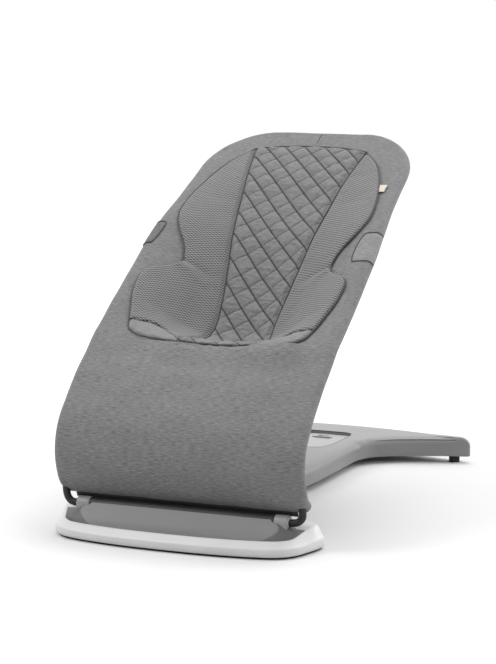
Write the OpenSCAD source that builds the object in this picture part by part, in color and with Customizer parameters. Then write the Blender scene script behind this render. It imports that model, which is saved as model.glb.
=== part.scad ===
// Folding bouncer seat for a baby. A stretched fabric seat hangs on a steel tube frame,
// hinged at a weighted front foot. A strut behind the seat slides in the base to set the
// recline. Origin: middle of the base on the floor. +Z up, the seat faces -Y.

/* [Base] */
// Length of the base from the front foot's edge to the rear edge
base_length = 776; // [740:1:820]
// Width of the base across the rear arm tips
base_width = 484; // [460:1:500]
// Half-width of the front foot at its widest
foot_half = 208; // [200:1:214]
// Height of the front foot's rim
foot_rise = 24; // [22:1:30]
// Height of the deck above the floor
deck_top = 43; // [40:1:46]
// Wall thickness of the moulded shells
wall = 3; // [2.5:0.1:3.5]

/* [Seat] */
// Half-width of the seat along its rails
seat_half = 196; // [190:1:200]
// Outer diameter of the frame tubes
tube_d = 12; // [11:0.5:13]
// Thickness of the stretched cover
cover_t = 3; // [2:0.5:3.5]
// Thickness of the padded insert
insert_t = 8; // [6:1:10]

/* [Recline mechanism] */
// Height of the front hinge axis
hinge_z = 42; // [41:0.5:43]
// Distance of the front hinge axis from the front edge
hinge_in = 73; // [72:1:74]
// Length of the strut, also the distance from the front hinge to the strut's hinge
link = 225; // [223:1:227]
// Angle at the front hinge between the guide rail and the strut's hinge
link_angle = 46; // [45:0.5:47]
// Downward slope of the guide rail
rail_slope = 2; // [1.5:0.5:2.5]
// Diameter of the cross tube behind the seat
cross_d = 16; // [16:0.5:17]

/* [Fits] */
// Radial clearance of the running fits
run = 0.05; // [0.02:0.01:0.08]
// Gap left between parts that slide past each other
gap = 0.4; // [0.3:0.1:0.6]
// Gap left between fixed parts that lie against each other
clear = 0.1; // [0.05:0.05:0.2]

/* [Hidden] */

fine = 48;
tube_r = tube_d / 2;
cross_r = cross_d / 2;
inset = tube_r + cover_t + 0.8;

// ---------- helpers ----------
// y measured from the front edge of the base
function fy(y) = y - base_length / 2;
function unit(v) = v / norm(v);
function mix(a, b, k) = a * (1 - k) + b * k;
// Catmull-Rom curve through the points p, n steps a span, ends held
function spline(p, n) = [for (i = [0:len(p) - 2]) for (k = [0:n - (i < len(p) - 2 ? 1 : 0)])
    let (a = p[max(i - 1, 0)], b = p[i], c = p[i + 1], d = p[min(i + 2, len(p) - 1)], t = k / n)
    0.5 * (2 * b + (c - a) * t + (2 * a - 5 * b + 4 * c - d) * t * t
        + (3 * b - a - 3 * c + d) * t * t * t)];
// Outline moved inwards by d; the outline runs anticlockwise
function inward(p, d) = [for (i = [0:len(p) - 1])
    let (n = len(p), a = unit(p[i] - p[(i + n - 1) % n]), b = unit(p[(i + 1) % n] - p[i]),
        m = unit([-a[1] - b[1], a[0] + b[0]]), c = max(0.5, m * [-b[1], b[0]]))
    p[i] + m * d / c];
function lift(p, z) = [for (q = p) [q[0], q[1], z]];
// Both halves of a symmetric outline, given its right half from front to back
function both(p) = concat(p,
    [for (i = [len(p) - 1:-1:0]) if (abs(p[i][0]) > 0.01) [-p[i][0], p[i][1]]]);

// Solid through stacked rings of equal point counts, each anticlockwise from above.
// Its caps are strips between the points i and n + turn - i, so a ring is symmetric or a flat band.
function fan(f) = [for (j = [1:len(f) - 2]) [f[0], f[j], f[j + 1]]];
module loft(rings, turn = 0) {
    n = len(rings[0]);
    top = (len(rings) - 1) * n;
    cap = [for (i = [0:n / 2 - 1 + turn]) let (c = (n + turn - i - 1) % n, d = (n + turn - i) % n)
        each fan(i == d ? [i, i + 1, c] : c == i + 1 ? [i, i + 1, d] : [i, i + 1, c, d])];
    polyhedron([for (r = rings) for (q = r) q], concat(cap,
        [for (k = [0:len(rings) - 2]) for (i = [0:n - 1]) let (a = k * n + i, b = k * n + (i + 1) % n)
            each fan([a, a + n, b + n, b])],
        [for (f = cap) [f[2] + top, f[1] + top, f[0] + top]]), convexity = 6);
}

// Round tube of radius r swept through the points p; up gives a normal at each point
module sweep(p, up, r, sides = 10) {
    rings = [for (i = [0:len(p) - 1])
        let (t = unit(p[min(i + 1, len(p) - 1)] - p[max(i - 1, 0)]), u = unit(up[i] - (up[i] * t) * t),
            v = cross(t, u))
        [for (a = [0:sides - 1]) p[i] + r * (cos(a * 360 / sides) * u + sin(a * 360 / sides) * v)]];
    loft(rings);
}

// Plain cylinder from point a to point b
module rod(a, b, r) {
    d = b - a;
    translate(a) rotate([0, acos(d[2] / norm(d)), atan2(d[1], d[0])])
        cylinder(h = norm(d), r = r, $fn = fine);
}

// Cylinder along X from x0 to x1 at height z and place y
module x_rod(x0, x1, y, z, r) {
    translate([x0, y, z]) rotate([0, 90, 0]) cylinder(h = x1 - x0, r = r, $fn = fine);
}

// ---------- seat surface ----------
// Side profile of the seat from the hem to the top: y, z, half-width, sag at the middle
seat_rows = [
    [80, 57, seat_half - 1, 0], [60, 73, seat_half, 0], [47, 112, seat_half, 0],
    [50, 148, seat_half, 1], [69, 181, seat_half, 2], [115, 227, seat_half, 5],
    [153, 257, seat_half, 10], [181, 280, seat_half, 19], [201, 293, seat_half, 31],
    [217, 303, seat_half, 52], [241, 319, seat_half, 78], [265, 334, seat_half, 86],
    [315, 366, seat_half - 1, 75], [364, 398, seat_half - 2, 60],
    [418, 432, seat_half - 6, 40], [480, 465, seat_half - 12, 23],
    [531, 491, seat_half - 15, 8], [582, 517, seat_half - 17, 0],
    [622, 538, seat_half - 17, 0], [663, 560, seat_half - 17, 0]];
seat_steps = 2;
seat_line = spline(seat_rows, seat_steps);
seat_n = len(seat_line) - 1;
seat_top = seat_rows[len(seat_rows) - 1];
// Rounded top corners: flat part, height of the corner and its fullness
corner_flat = 80;
corner_high = 110;
corner_power = 1.8;

function along(i) = let (a = seat_line[max(i - 1, 0)], b = seat_line[min(i + 1, seat_n)])
    unit([b[0] - a[0], b[1] - a[1]]);
// Unit normal of the rails' surface, pointing up and forwards out of the seat
function out(i) = [0, -along(i)[1], along(i)[0]];
function from_top(i) = norm([seat_line[i][0] - seat_top[0], seat_line[i][1] - seat_top[1]]);
function corner(e) = e >= corner_high ? 1
    : pow(1 - pow((corner_high - e) / corner_high, corner_power), 1 / corner_power);
function half_at(i) = let (e = from_top(i))
    mix(corner_flat, seat_line[i][2], corner(e));
// Share of the sag at across position t from -1 to 1; the fabric is level over the rails
level_from = 0.93;
function sag_at(t) = pow(max(0, 1 - pow(t / level_from, 2)), 1.8);
// Point of the seat's surface at station i and across position t, raised by up
function seat_point(i, t, up) = let (q = seat_line[i])
    [t * half_at(i), fy(q[0]), q[1]] + (up - q[3] * sag_at(t)) * out(i);
// Centre line of the right rail at station i
function rail_point(i) = [half_at(i) - inset, fy(seat_line[i][0]), seat_line[i][1]] - inset * out(i);
function first_past(y) = [for (i = [0:seat_n]) if (seat_line[i][0] >= y && i > 4) i][0];

// Closed sheet over stations a to b; edges gives its two limits of t at each station and
// shares gives the places across, from 0 to 1
function even(n) = [for (k = [0:n]) k / n];
function reversed(p) = [for (i = [len(p) - 1:-1:0]) p[i]];
module seat_sheet(a, b, edges, shares, low, high) {
    loft([for (i = [a:b]) let (e = edges[i - a])
        concat([for (k = shares) seat_point(i, mix(e[0], e[1], k), low)],
            [for (k = reversed(shares)) seat_point(i, mix(e[0], e[1], k), high)])], -1);
}

// ---------- places ----------
hinge = [0, fy(hinge_in), hinge_z];
head_angle = link_angle - rail_slope;
strut_head = hinge + link * [0, cos(head_angle), sin(head_angle)];
foot_run = 2 * link * cos(link_angle);
strut_foot = hinge + foot_run * [0, cos(rail_slope), -sin(rail_slope)];
housing_in = 146;
housing_out = 167;
rod_out = 170;
pin_r = 5.5;
// Seat stations where the front rod enters the rail's line and where the tubes meet
rod_from = 2;
rod_top = first_past(98);
coupler_a = first_past(375);
coupler_b = first_past(425);
bow_from = [for (i = [0:seat_n]) if (from_top(i) <= corner_high) i][0];
brace_at = first_past(222);

// ---------- base ----------
grip_t = 3;
dish_floor = 17;
edge_in = 14;
bridge_top = 40;
spine_x = 42;
spine_r = 7;
spine_z = 23;
foot_end = 222;
deck_start = 222.5;
// Right halves of the outlines, from the front middle to the back middle
foot_line = concat([[0, 0]], spline([[60, 1.5], [120, 8], [165, 19], [188, 38], [200, 66],
    [foot_half, 96], [foot_half - 3, 114], [182, 132], [146, 152], [104, 178], [76, 204]], 2),
    [[62, foot_end], [0, foot_end]]);
dish_line = concat([[0, 9]], spline([[80, 13], [140, 24], [168, 44], [172, 62]], 2),
    [[150, 78], [0, 82]]);
floor_line = concat([[0, 33]], spline([[70, 35], [118, 42], [141, 54], [145, 66]], 2),
    [[132, 77], [0, 79]]);
ramp_rear = 62;
ramp_line = concat([[0, 34]], spline([[70, 36], [117, 43], [138, 53], [142, 60]], 2),
    [[138, ramp_rear], [0, ramp_rear + 0.5]]);
// Height of the ramp's rings and the share of its depth that each one keeps
ramp_rings = [[0.1, 1], [3, 0.95], [10, 0.6], [20, 0.33], [29, 0.1]];
bridge_line = [[0, 87], [130, 87], [160, 92], [184, 104], [176, 118], [146, 138], [104, 164],
    [74, 192], [58, foot_end], [0, foot_end]];
// How far each ring of the foot's side is moved in, and its height
foot_rings = [[4, grip_t], [0, 8], [1.5, 15], [11, foot_rise - 1], [edge_in, foot_rise]];
bridge_rings = [[0, dish_floor], [3, foot_rise + 4], [12, bridge_top]];
spine_front = 96;
spine_rear = 698;
spine_hole_rear = 240;
function placed(half_line) = [for (q = both(half_line)) [q[0], fy(q[1])]];
foot_outline = placed(foot_line);
dish_outline = placed(dish_line);
floor_outline = placed(floor_line);
bridge_outline = placed(bridge_line);

module spine_holes() {
    for (s = [-1, 1])
        rod([s * spine_x, fy(spine_front - 1), spine_z], [s * spine_x, fy(spine_hole_rear), spine_z],
            spine_r + gap);
}

module front_foot_shell() {
    color("gainsboro") resize([2 * foot_half, foot_end, bridge_top - grip_t]) difference() {
        union() {
            loft([for (r = foot_rings) lift(inward(foot_outline, r[0]), r[1])]);
            loft([for (r = bridge_rings) lift(inward(bridge_outline, r[0]), r[1])]);
        }
        loft([lift(floor_outline, dish_floor), lift(dish_outline, foot_rise + 0.6)]);
        loft([lift(inward(foot_outline, edge_in), grip_t - 1),
            lift(inward(foot_outline, edge_in + 4), dish_floor - wall)]);
        spine_holes();
    }
}

// Sloping panel that rises from the dish to the hinge bar
module foot_ramp() {
    color("darkgray") loft([for (r = ramp_rings) [for (q = both(ramp_line))
        [q[0], fy(mix(ramp_rear, q[1], r[1])), dish_floor + r[0]]]]);
}

ballast_size = [284, 52, 9];
ballast_front = 36;
pad_in_from_edge = 5;
module ballast_plate() {
    color("dimgray") translate([-ballast_size[0] / 2, fy(ballast_front), grip_t + clear]) cube(ballast_size);
}

module front_grip_pad() {
    color("black") linear_extrude(grip_t - clear) polygon(inward(foot_outline, pad_in_from_edge));
}

// Housing over the front foot that holds one seat rod's bush
housing_r = 11;
bush_r = 8;
module pivot_housing(side) {
    x0 = side > 0 ? housing_in : -housing_out;
    color("gainsboro") difference() {
        union() {
            x_rod(x0, x0 + housing_out - housing_in, hinge[1], hinge_z, housing_r);
            translate([x0, hinge[1] - housing_r, foot_rise + clear])
                cube([housing_out - housing_in, 2 * housing_r, hinge_z - foot_rise]);
        }
        x_rod(x0 - 1, x0 + housing_out, hinge[1], hinge_z, bush_r);
    }
}

module pivot_bush(side) {
    x0 = side > 0 ? housing_in : -housing_out;
    color("ivory") difference() {
        x_rod(x0, x0 + housing_out - housing_in, hinge[1], hinge_z, bush_r);
        x_rod(x0 - 1, x0 + housing_out, hinge[1], hinge_z, pin_r + run);
    }
}

module hinge_bar() {
    color("black") x_rod(-housing_in + gap, housing_in - gap, hinge[1], hinge_z, housing_r - 1);
}

module spine_tube(side) {
    color("silver") rod([side * spine_x, fy(spine_front), spine_z],
        [side * spine_x, fy(spine_rear), spine_z], spine_r);
}

// Right half of the deck's outline: neck, front of the arm, tip, rear edge
deck_line = concat([[0, deck_start], [50, deck_start], [56, 230]],
    spline([[57, 250], [58, 330], [62, 400], [68, 450], [72, 520], [74, 590], [77, 632],
        [88, 660], [112, 681], [150, 700], [195, 717], [234, 729]], 2),
    [[base_width / 2 - 2, 731], [base_width / 2, 736], [base_width / 2 - 3, 741],
        [base_width / 2 - 12, 744]],
    spline([[205, 750], [150, 761], [100, 769], [50, 774], [0, base_length]], 2));
// Each deck point's inner partner, towards which the outline shrinks: the arms' middle line,
// the neck's middle or a point behind the front edge
arm_end = 205;
arm_mid = [[0, 730], [100, 731], [arm_end, 735]];
function deck_mid(p) = p[1] < 240 ? [min(p[0], 30), 255] : p[1] < 640 ? [0, p[1]]
    : [min(p[0], arm_end), lookup(min(p[0], arm_end), arm_mid)];
// The deck's outline moved inwards by d, and by most of the way to the middle at the tips
function deck_in(d, most = 0.35) = placed([for (p = deck_line) let (v = deck_mid(p) - p)
    p + v * min(most, d / norm(v))]);
deck_low = 11;
tray_t = 2.5;
tray_z = 11.4;
tray_in = 7;
tray_most = 0.42;
// How far each ring of the deck's side is moved in, and its height
deck_rings = [[1, deck_low], [0, deck_low + 2], [0, 31], [3, 38], [6.5, 42], [9, deck_top]];
cavity_in = 6;
cavity_side = 14;
slot_low = 20;
slot_half = 13;
slot_front = 300;
slot_rear = 500;
recess_depth = 7;
recess_line = [[0, 564], [16, 564], [36, 576], [42, 600], [45, 640], [47, 680], [44, 696],
    [0, 700]];
recess_outline = placed(recess_line);
recess_block = [120, 152, 20];
slider_y = 671;
slider_travel = 8;
stem_half = 11;
stem_w = 7.2;
stem_hole_w = 8;

module slider_hole() {
    translate([-stem_half - slider_travel - 1, fy(slider_y) - stem_hole_w / 2, slot_low])
        cube([2 * stem_half + slider_travel + 2, stem_hole_w, deck_top]);
}

module deck_cavity() {
    difference() {
        loft([lift(deck_in(cavity_in), deck_low - 2), lift(deck_in(cavity_in), deck_top - cavity_side),
            lift(deck_in(cavity_in + wall), deck_top - wall)]);
        translate([-recess_block[0] / 2, fy(recess_line[0][1] - 8), deck_top - recess_depth - wall])
            cube(recess_block);
    }
}

module deck_cover() {
    color("lightgray") resize([base_width, base_length - deck_start, deck_top - deck_low])
    difference() {
        loft([for (r = deck_rings) lift(deck_in(r[0]), r[1])]);
        deck_cavity();
        translate([-slot_half, fy(slot_front), slot_low])
            cube([2 * slot_half, slot_rear - slot_front, deck_top]);
        translate([0, 0, deck_top - recess_depth]) linear_extrude(deck_top) polygon(recess_outline);
        slider_hole();
        for (s = [-1, 1])
            rod([s * spine_x, fy(foot_end - 2), spine_z], [s * spine_x, fy(spine_hole_rear), spine_z],
                spine_r + gap);
    }
}

module deck_tray() {
    color("darkgray") translate([0, 0, tray_z]) linear_extrude(tray_t) polygon(deck_in(tray_in, tray_most));
}

// Tube along each arm, from the deck's rear towards the tip
arm_z = 22;
arm_tube_ends = [[54, 722], [arm_end, 733]];
arm_tube_r = 6;
module arm_tube(side) {
    color("silver") rod([side * arm_tube_ends[0][0], fy(arm_tube_ends[0][1]), arm_z],
        [side * arm_tube_ends[1][0], fy(arm_tube_ends[1][1]), arm_z], arm_tube_r);
}

// Channel that guides the shoe, along the line from the hinge axis through the strut's foot
channel_half = 14.5;
channel_t = 2;
shoe_low = 9;
shoe_high = 5.5;
rail_wall_top = 5;
rail_from = 243;
rail_to = 470;
module on_rail(run_y) {
    translate(hinge) rotate([-rail_slope, 0, 0]) translate([0, run_y, 0]) children();
}
module guide_rail() {
    color("silver") on_rail(rail_from) difference() {
        translate([-channel_half - channel_t, 0, -shoe_low - gap - channel_t])
            cube([2 * (channel_half + channel_t), rail_to - rail_from, shoe_low + channel_t + rail_wall_top]);
        translate([-channel_half, -1, -shoe_low - gap])
            cube([2 * channel_half, rail_to - rail_from + 2, deck_top]);
    }
}

foot_x = 214;
foot_y = 736;
foot_r = 9;
module rear_foot(side) {
    color("black") translate([side * foot_x, fy(foot_y), 0])
        cylinder(h = deck_low - clear, r = foot_r, $fn = fine);
}

panel_t = 2;
panel_in = 0.6;
module recess_panel() {
    color("whitesmoke") difference() {
        translate([0, 0, deck_top - recess_depth + clear]) linear_extrude(panel_t)
            polygon(inward(recess_outline, panel_in));
        slider_hole();
    }
}

slider_z = deck_top - recess_depth + panel_t + gap;
stem_long = 9;
cap_size = [30, 13, panel_t];
module lock_slider() {
    color("black") {
        translate([-stem_half, fy(slider_y) - stem_w / 2, slider_z - stem_long])
            cube([2 * stem_half, stem_w, stem_long + 1]);
        translate([-cap_size[0] / 2, fy(slider_y) - cap_size[1] / 2, slider_z]) cube(cap_size);
    }
}

spring_size = [0.6, 6, 4.8];
spring_z = 28;
module leaf_spring() {
    color("silver") translate([stem_half + 2 * clear, fy(slider_y) - spring_size[1] / 2, spring_z])
        cube(spring_size);
}

// Dash beside the channel
mark_x = 46;
mark_y = 424;
mark_size = [8, 3, 0.6];
module position_mark() {
    color("black") translate([mark_x, fy(mark_y), deck_top + clear]) cube(mark_size);
}

screw_x = 44;
screw_r = 3.5;
screw_h = 3;
screw_rows = [260, 400, 640];
module base_screws() {
    color("silver") for (s = [-1, 1], y = screw_rows)
        translate([s * screw_x, fy(y), tray_z - clear - screw_h])
            cylinder(h = screw_h, r = screw_r, $fn = fine);
}

// ---------- seat frame ----------
function flip(p, side) = [side * p[0], p[1], p[2]];
module on_side(side) {
    mirror([side > 0 ? 0 : 1, 0, 0]) children();
}

// Dark rod from the hinge pin, curling out and up into the lower rail. Each row is a point of
// the curl: the distance from the middle, and the shift back and the rise from the hinge
rod_curl = [[rod_out, 0, 0], [180, 0.5, 2], [186, 1, 9], [187, -1, 20]];
module front_rod(side) {
    bend = spline([for (q = rod_curl) [q[0], hinge[1] + q[1], hinge_z + q[2]]], 3);
    color("black") {
        x_rod(side > 0 ? housing_in : -rod_out, side > 0 ? rod_out : -housing_in,
            hinge[1], hinge_z, pin_r);
        on_side(side) sweep(concat(bend, [for (i = [rod_from:rod_top]) rail_point(i)]),
            concat([for (q = bend) [0, -1, 0]], [for (i = [rod_from:rod_top]) out(i)]), pin_r, 12);
    }
}

// Length of rail between the stations a and b, ending just short of both
joint_gap = 0.05;
module rail_part(side, a, b) {
    path = [for (i = [a:b]) i == a ? mix(rail_point(a), rail_point(a + 1), joint_gap)
        : i == b ? mix(rail_point(b), rail_point(b - 1), joint_gap) : rail_point(i)];
    color("dimgray") on_side(side) sweep(path, [for (i = [a:b]) out(i)], tube_r, 10);
}
module lower_rail(side) { rail_part(side, rod_top, coupler_a); }
module upper_rail(side) { rail_part(side, coupler_b, bow_from); }

button_r = 3;
button_out = 1.8;
button_hole = [9, 2];
coupler_t = 0.3;
coupler_mid = (rail_point(coupler_a) + rail_point(coupler_b)) / 2;
module coupler(side) {
    m = flip(coupler_mid, side);
    color("dimgray") difference() {
        rod(flip(rail_point(coupler_a), side), flip(rail_point(coupler_b), side),
            tube_r + coupler_t);
        x_rod(m[0] - button_hole[side > 0 ? 0 : 1], m[0] + button_hole[side > 0 ? 1 : 0],
            m[1], m[2], button_r + run);
    }
}

module snap_button(side) {
    m = flip(coupler_mid, side);
    near = m[0] - side * (tube_r + button_out);
    far = m[0] - side;
    color("silver") x_rod(min(near, far), max(near, far), m[1], m[2], button_r);
}

// Rounded corner and half of the top of the hoop
bow_end = 30;
bow_lead = [0.3, 3];
function bow_point(f) = let (t = along(seat_n), k = 2 / corner_power,
        e = corner_high - (corner_high - inset) * pow(sin(f), k))
    [corner_flat + (seat_top[2] - corner_flat - inset) * pow(cos(f), k), fy(seat_top[0]) - e * t[0],
        seat_top[1] - e * t[1]] - inset * out(seat_n);
module top_bow(side) {
    start = rail_point(bow_from);
    ahead = unit(start - rail_point(bow_from - 1));
    path = concat([for (d = bow_lead) start + d * ahead], [for (f = [20:10:90]) bow_point(f)],
        [[bow_end, bow_point(90)[1], bow_point(90)[2]]]);
    color("dimgray") on_side(side) sweep(path, [for (q = path) out(seat_n)], tube_r, 10);
}

module bow_connector() {
    color("dimgray") x_rod(-bow_end, bow_end, bow_point(90)[1], bow_point(90)[2], tube_r);
}

hem_y = 81.5;
hem_z = 65.3;
hem_half = 176;
hem_r = 4;
module hem_rod() {
    color("black") x_rod(-hem_half, hem_half, fy(hem_y), hem_z, hem_r);
}

ring_in = 92;
ring_out = 108;
ring_t = 3;
brace_clear = tube_r + 1.8;
brace_shift = [4, 0, 0];
module brace_arm(side) {
    a = [side * (ring_in + ring_out) / 2, strut_head[1], strut_head[2]];
    b = flip(rail_point(brace_at) - brace_shift - brace_clear * out(brace_at), side);
    color("dimgray") difference() {
        union() {
            rod(a, b, tube_r);
            x_rod(min(side * ring_in, side * ring_out), max(side * ring_in, side * ring_out),
                strut_head[1], strut_head[2], cross_r + ring_t);
        }
        x_rod(-ring_out - 1, ring_out + 1, strut_head[1], strut_head[2], cross_r);
    }
}

module cross_tube() {
    color("dimgray") x_rod(-ring_out, ring_out, strut_head[1], strut_head[2], cross_r);
}

eye_half = 15;
collar_w = 6;
lever_in = eye_half + 2 * gap + collar_w;
lever_w = 22;
eye_t = 5;
// Collars on the cross tube, on both sides of the strut's eye and outside the lever
module tube_collars() {
    color("black") for (x0 = [eye_half + gap, -eye_half - gap - collar_w, lever_in + lever_w + gap])
        difference() {
            x_rod(x0, x0 + collar_w, strut_head[1], strut_head[2], cross_r + eye_t);
            x_rod(x0 - 1, x0 + collar_w + 1, strut_head[1], strut_head[2], cross_r);
        }
}

// The hem's corners are cut back round the front rods
hem_cut = 0.92;
cover_half = [0.15, 0.3, 0.45, 0.58, 0.7, 0.8, 0.88, level_from, 1];
cover_shares = concat([for (t = reversed(cover_half)) (1 - t) / 2], [0.5],
    [for (t = cover_half) (1 + t) / 2]);
module seat_cover() {
    color("gray") seat_sheet(0, seat_n, [for (i = [0:seat_n]) let (t = i > rod_from ? 1 : hem_cut)
        [-t, t]], cover_shares, -cover_t, 0);
}

// ---------- insert ----------
// Half-widths of the quilted centre and of the whole insert, from its lower edge to its top
quilt_rows = [[201, 64], [241, 60], [265, 57], [315, 54], [364, 58], [418, 66], [480, 77],
    [531, 86], [612, 98]];
wing_rows = [[181, 120], [201, 140], [241, 158], [285, 168], [306, 165], [330, 138], [352, 123],
    [372, 129], [407, 150], [440, 160], [500, 151], [546, 138], [583, 117], [600, 100]];
insert_from = first_past(200);
insert_to = first_past(612);
insert_lift = 1.5;
side_t = insert_t - 2.5;
seam_gap = 0.6;
function quilt_w(i) = lookup(seat_line[i][0], quilt_rows);
function wing_w(i) = lookup(seat_line[i][0], wing_rows);

module insert_quilt() {
    color("darkgray") seat_sheet(insert_from, insert_to,
        [for (i = [insert_from:insert_to]) let (t = quilt_w(i) / half_at(i)) [-t, t]],
        even(6), insert_lift, insert_lift + insert_t - 1);
}

module insert_side(side) {
    color("dimgray") seat_sheet(insert_from, insert_to,
        [for (i = [insert_from:insert_to]) let (h = half_at(i), a = (quilt_w(i) + seam_gap) / h,
            b = max(wing_w(i), quilt_w(i) + 4) / h) side > 0 ? [a, b] : [-b, -a]],
        even(5), insert_lift, insert_lift + side_t);
}

// Small flaps and the tag sewn on at the seat's edges
patch_t = 1;
tab_a = first_past(350);
tab_b = first_past(400);
tab_in = 0.87;
tab_out = 0.985;
module side_tab(side) {
    color("gray") seat_sheet(tab_a, tab_b, [for (i = [tab_a:tab_b])
        let (w = i == tab_a || i == tab_b ? 0.95 : tab_in) side > 0 ? [w, tab_out] : [-tab_out, -w]],
        even(2), insert_lift, insert_lift + patch_t);
}

tag_at = first_past(520);
tag_edges = [0.805, 0.905];
module label_tag() {
    color("ivory") seat_sheet(tag_at, tag_at + 1, [tag_edges, tag_edges], even(2), insert_lift,
        insert_lift + patch_t);
}

// ---------- strut ----------
module on_strut() {
    translate(strut_head) rotate([-(link_angle + rail_slope), 0, 0]) children();
}
strut_half = 11;
foot_pin_r = 4;
foot_eye_r = 7;
core_half = 5;
module strut_core() {
    color("silver") on_strut() difference() {
        union() {
            x_rod(-eye_half, eye_half, 0, 0, cross_r + eye_t);
            x_rod(-core_half, core_half, link, 0, foot_eye_r);
            translate([-core_half, 0, -core_half]) cube([2 * core_half, link, 2 * core_half]);
        }
        x_rod(-eye_half - 1, eye_half + 1, 0, 0, cross_r + run);
        x_rod(-core_half - 1, core_half + 1, link, 0, foot_pin_r);
    }
}

shell_end = 18;
shell_high = 9.6;
module strut_shell(low) {
    on_strut() difference() {
        translate([-strut_half, shell_end - 2, low])
            cube([2 * strut_half, link - 2 * shell_end + 2, shell_high - clear]);
        translate([-core_half - clear, 0, -core_half - clear])
            cube([2 * (core_half + clear), link, 2 * (core_half + clear)]);
    }
}
module strut_shell_front() { color("black") strut_shell(-shell_high); }
module strut_shell_rear() { color("black") strut_shell(clear); }

pin_half = channel_half - 1;
module foot_pin() {
    color("silver") x_rod(-pin_half, pin_half, strut_foot[1], strut_foot[2], foot_pin_r);
}

// Forked shoe that slides in the rail, joined behind the strut's foot
shoe_half = channel_half - gap;
shoe_front = -9;
shoe_rear = 17;
shoe_high_all = shoe_low + shoe_high;
pad_in = 8.5;
pad_out = channel_half - 0.3;
pad_y = 10.2;
pad_t = 4.8;
pad_half = 3.5;
pad_travel = 2.6;
module slide_shoe() {
    color("black") on_rail(foot_run) difference() {
        translate([-shoe_half, shoe_front, -shoe_low])
            cube([2 * shoe_half, shoe_rear - shoe_front, shoe_high_all]);
        translate([-core_half - gap, shoe_front - 1, -shoe_low - 1])
            cube([2 * (core_half + gap), foot_eye_r + gap - shoe_front + 1, shoe_high_all + 2]);
        translate([pad_in - pad_travel - gap, pad_y - gap, -pad_half - gap])
            cube([channel_half, pad_t + 2 * gap, 2 * (pad_half + gap)]);
        x_rod(-shoe_half - 1, shoe_half + 1, 0, 0, foot_pin_r + run);
    }
}

// Pad that grips the rail's side wall and draws back from it when the lever is pulled
module brake_pad() {
    color("brown") on_rail(foot_run) translate([pad_in, pad_y, -pad_half])
        cube([pad_out - pad_in, pad_t, 2 * pad_half]);
}

lever_long = 66;
lever_t = 6;
lever_hub_t = 4;
lever_lean = 20;
module release_lever() {
    color("black") translate([lever_in, strut_head[1], strut_head[2]]) rotate([lever_lean, 0, 0])
    difference() {
        union() {
            x_rod(0, lever_w, 0, 0, cross_r + lever_hub_t);
            translate([0, 0, -lever_t / 2]) cube([lever_w, lever_long, lever_t]);
        }
        x_rod(-1, lever_w + 1, 0, 0, cross_r + run);
    }
}

front_foot_shell();
foot_ramp();
ballast_plate();
front_grip_pad();
pivot_housing(-1);  // pivot_housing_left
pivot_housing(1);  // pivot_housing_right
pivot_bush(-1);  // pivot_bush_left
pivot_bush(1);  // pivot_bush_right
hinge_bar();
spine_tube(-1);  // spine_tube_left
spine_tube(1);  // spine_tube_right
arm_tube(-1);  // arm_tube_left
arm_tube(1);  // arm_tube_right
deck_cover();
deck_tray();
guide_rail();
rear_foot(-1);  // rear_foot_left
rear_foot(1);  // rear_foot_right
recess_panel();
lock_slider();
leaf_spring();
position_mark();
base_screws();
front_rod(-1);  // front_rod_left
front_rod(1);  // front_rod_right
lower_rail(-1);  // lower_rail_left
lower_rail(1);  // lower_rail_right
coupler(-1);  // coupler_left
coupler(1);  // coupler_right
snap_button(-1);  // snap_button_left
snap_button(1);  // snap_button_right
upper_rail(-1);  // upper_rail_left
upper_rail(1);  // upper_rail_right
top_bow(-1);  // top_bow_left
top_bow(1);  // top_bow_right
bow_connector();
hem_rod();
brace_arm(-1);  // brace_arm_left
brace_arm(1);  // brace_arm_right
cross_tube();
tube_collars();
seat_cover();
insert_quilt();
insert_side(-1);  // insert_side_left
insert_side(1);  // insert_side_right
side_tab(-1);  // side_tab_left
side_tab(1);  // side_tab_right
label_tag();
strut_core();
strut_shell_front();
strut_shell_rear();
foot_pin();
slide_shoe();
brake_pad();
release_lever();
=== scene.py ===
"""Looks of the folding bouncer seat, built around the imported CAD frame.

Lengths are in metres in the frame of the CAD model: +Z up, the seat faces -Y.
The seat's fabric lies on one surface that is given by s, the distance along the
side profile from the hem to the top, and x, the distance from the middle.
"""

import math

import bpy
import numpy as np
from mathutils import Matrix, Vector


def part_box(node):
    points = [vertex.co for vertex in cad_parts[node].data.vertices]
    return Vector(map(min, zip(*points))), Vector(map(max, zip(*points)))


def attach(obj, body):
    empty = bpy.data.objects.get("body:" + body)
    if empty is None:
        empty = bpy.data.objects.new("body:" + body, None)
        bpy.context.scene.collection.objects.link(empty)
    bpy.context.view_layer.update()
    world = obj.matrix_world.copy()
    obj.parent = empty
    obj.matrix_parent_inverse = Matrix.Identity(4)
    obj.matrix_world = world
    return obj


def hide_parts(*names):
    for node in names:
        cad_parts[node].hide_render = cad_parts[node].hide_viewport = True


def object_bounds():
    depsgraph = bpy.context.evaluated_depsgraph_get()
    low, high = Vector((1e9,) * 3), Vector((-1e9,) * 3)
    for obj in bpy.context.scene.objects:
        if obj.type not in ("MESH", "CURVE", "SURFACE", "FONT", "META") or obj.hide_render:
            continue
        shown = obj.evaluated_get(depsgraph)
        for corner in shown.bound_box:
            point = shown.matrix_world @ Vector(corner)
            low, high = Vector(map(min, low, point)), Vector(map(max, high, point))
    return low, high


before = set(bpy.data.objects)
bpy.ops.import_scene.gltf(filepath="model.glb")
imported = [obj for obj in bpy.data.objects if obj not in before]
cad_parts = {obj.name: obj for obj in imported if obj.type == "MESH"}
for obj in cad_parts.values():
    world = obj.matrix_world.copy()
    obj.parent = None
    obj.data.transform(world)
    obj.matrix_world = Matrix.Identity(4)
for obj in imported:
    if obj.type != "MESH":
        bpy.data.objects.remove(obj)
cad_low, cad_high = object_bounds()

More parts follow.
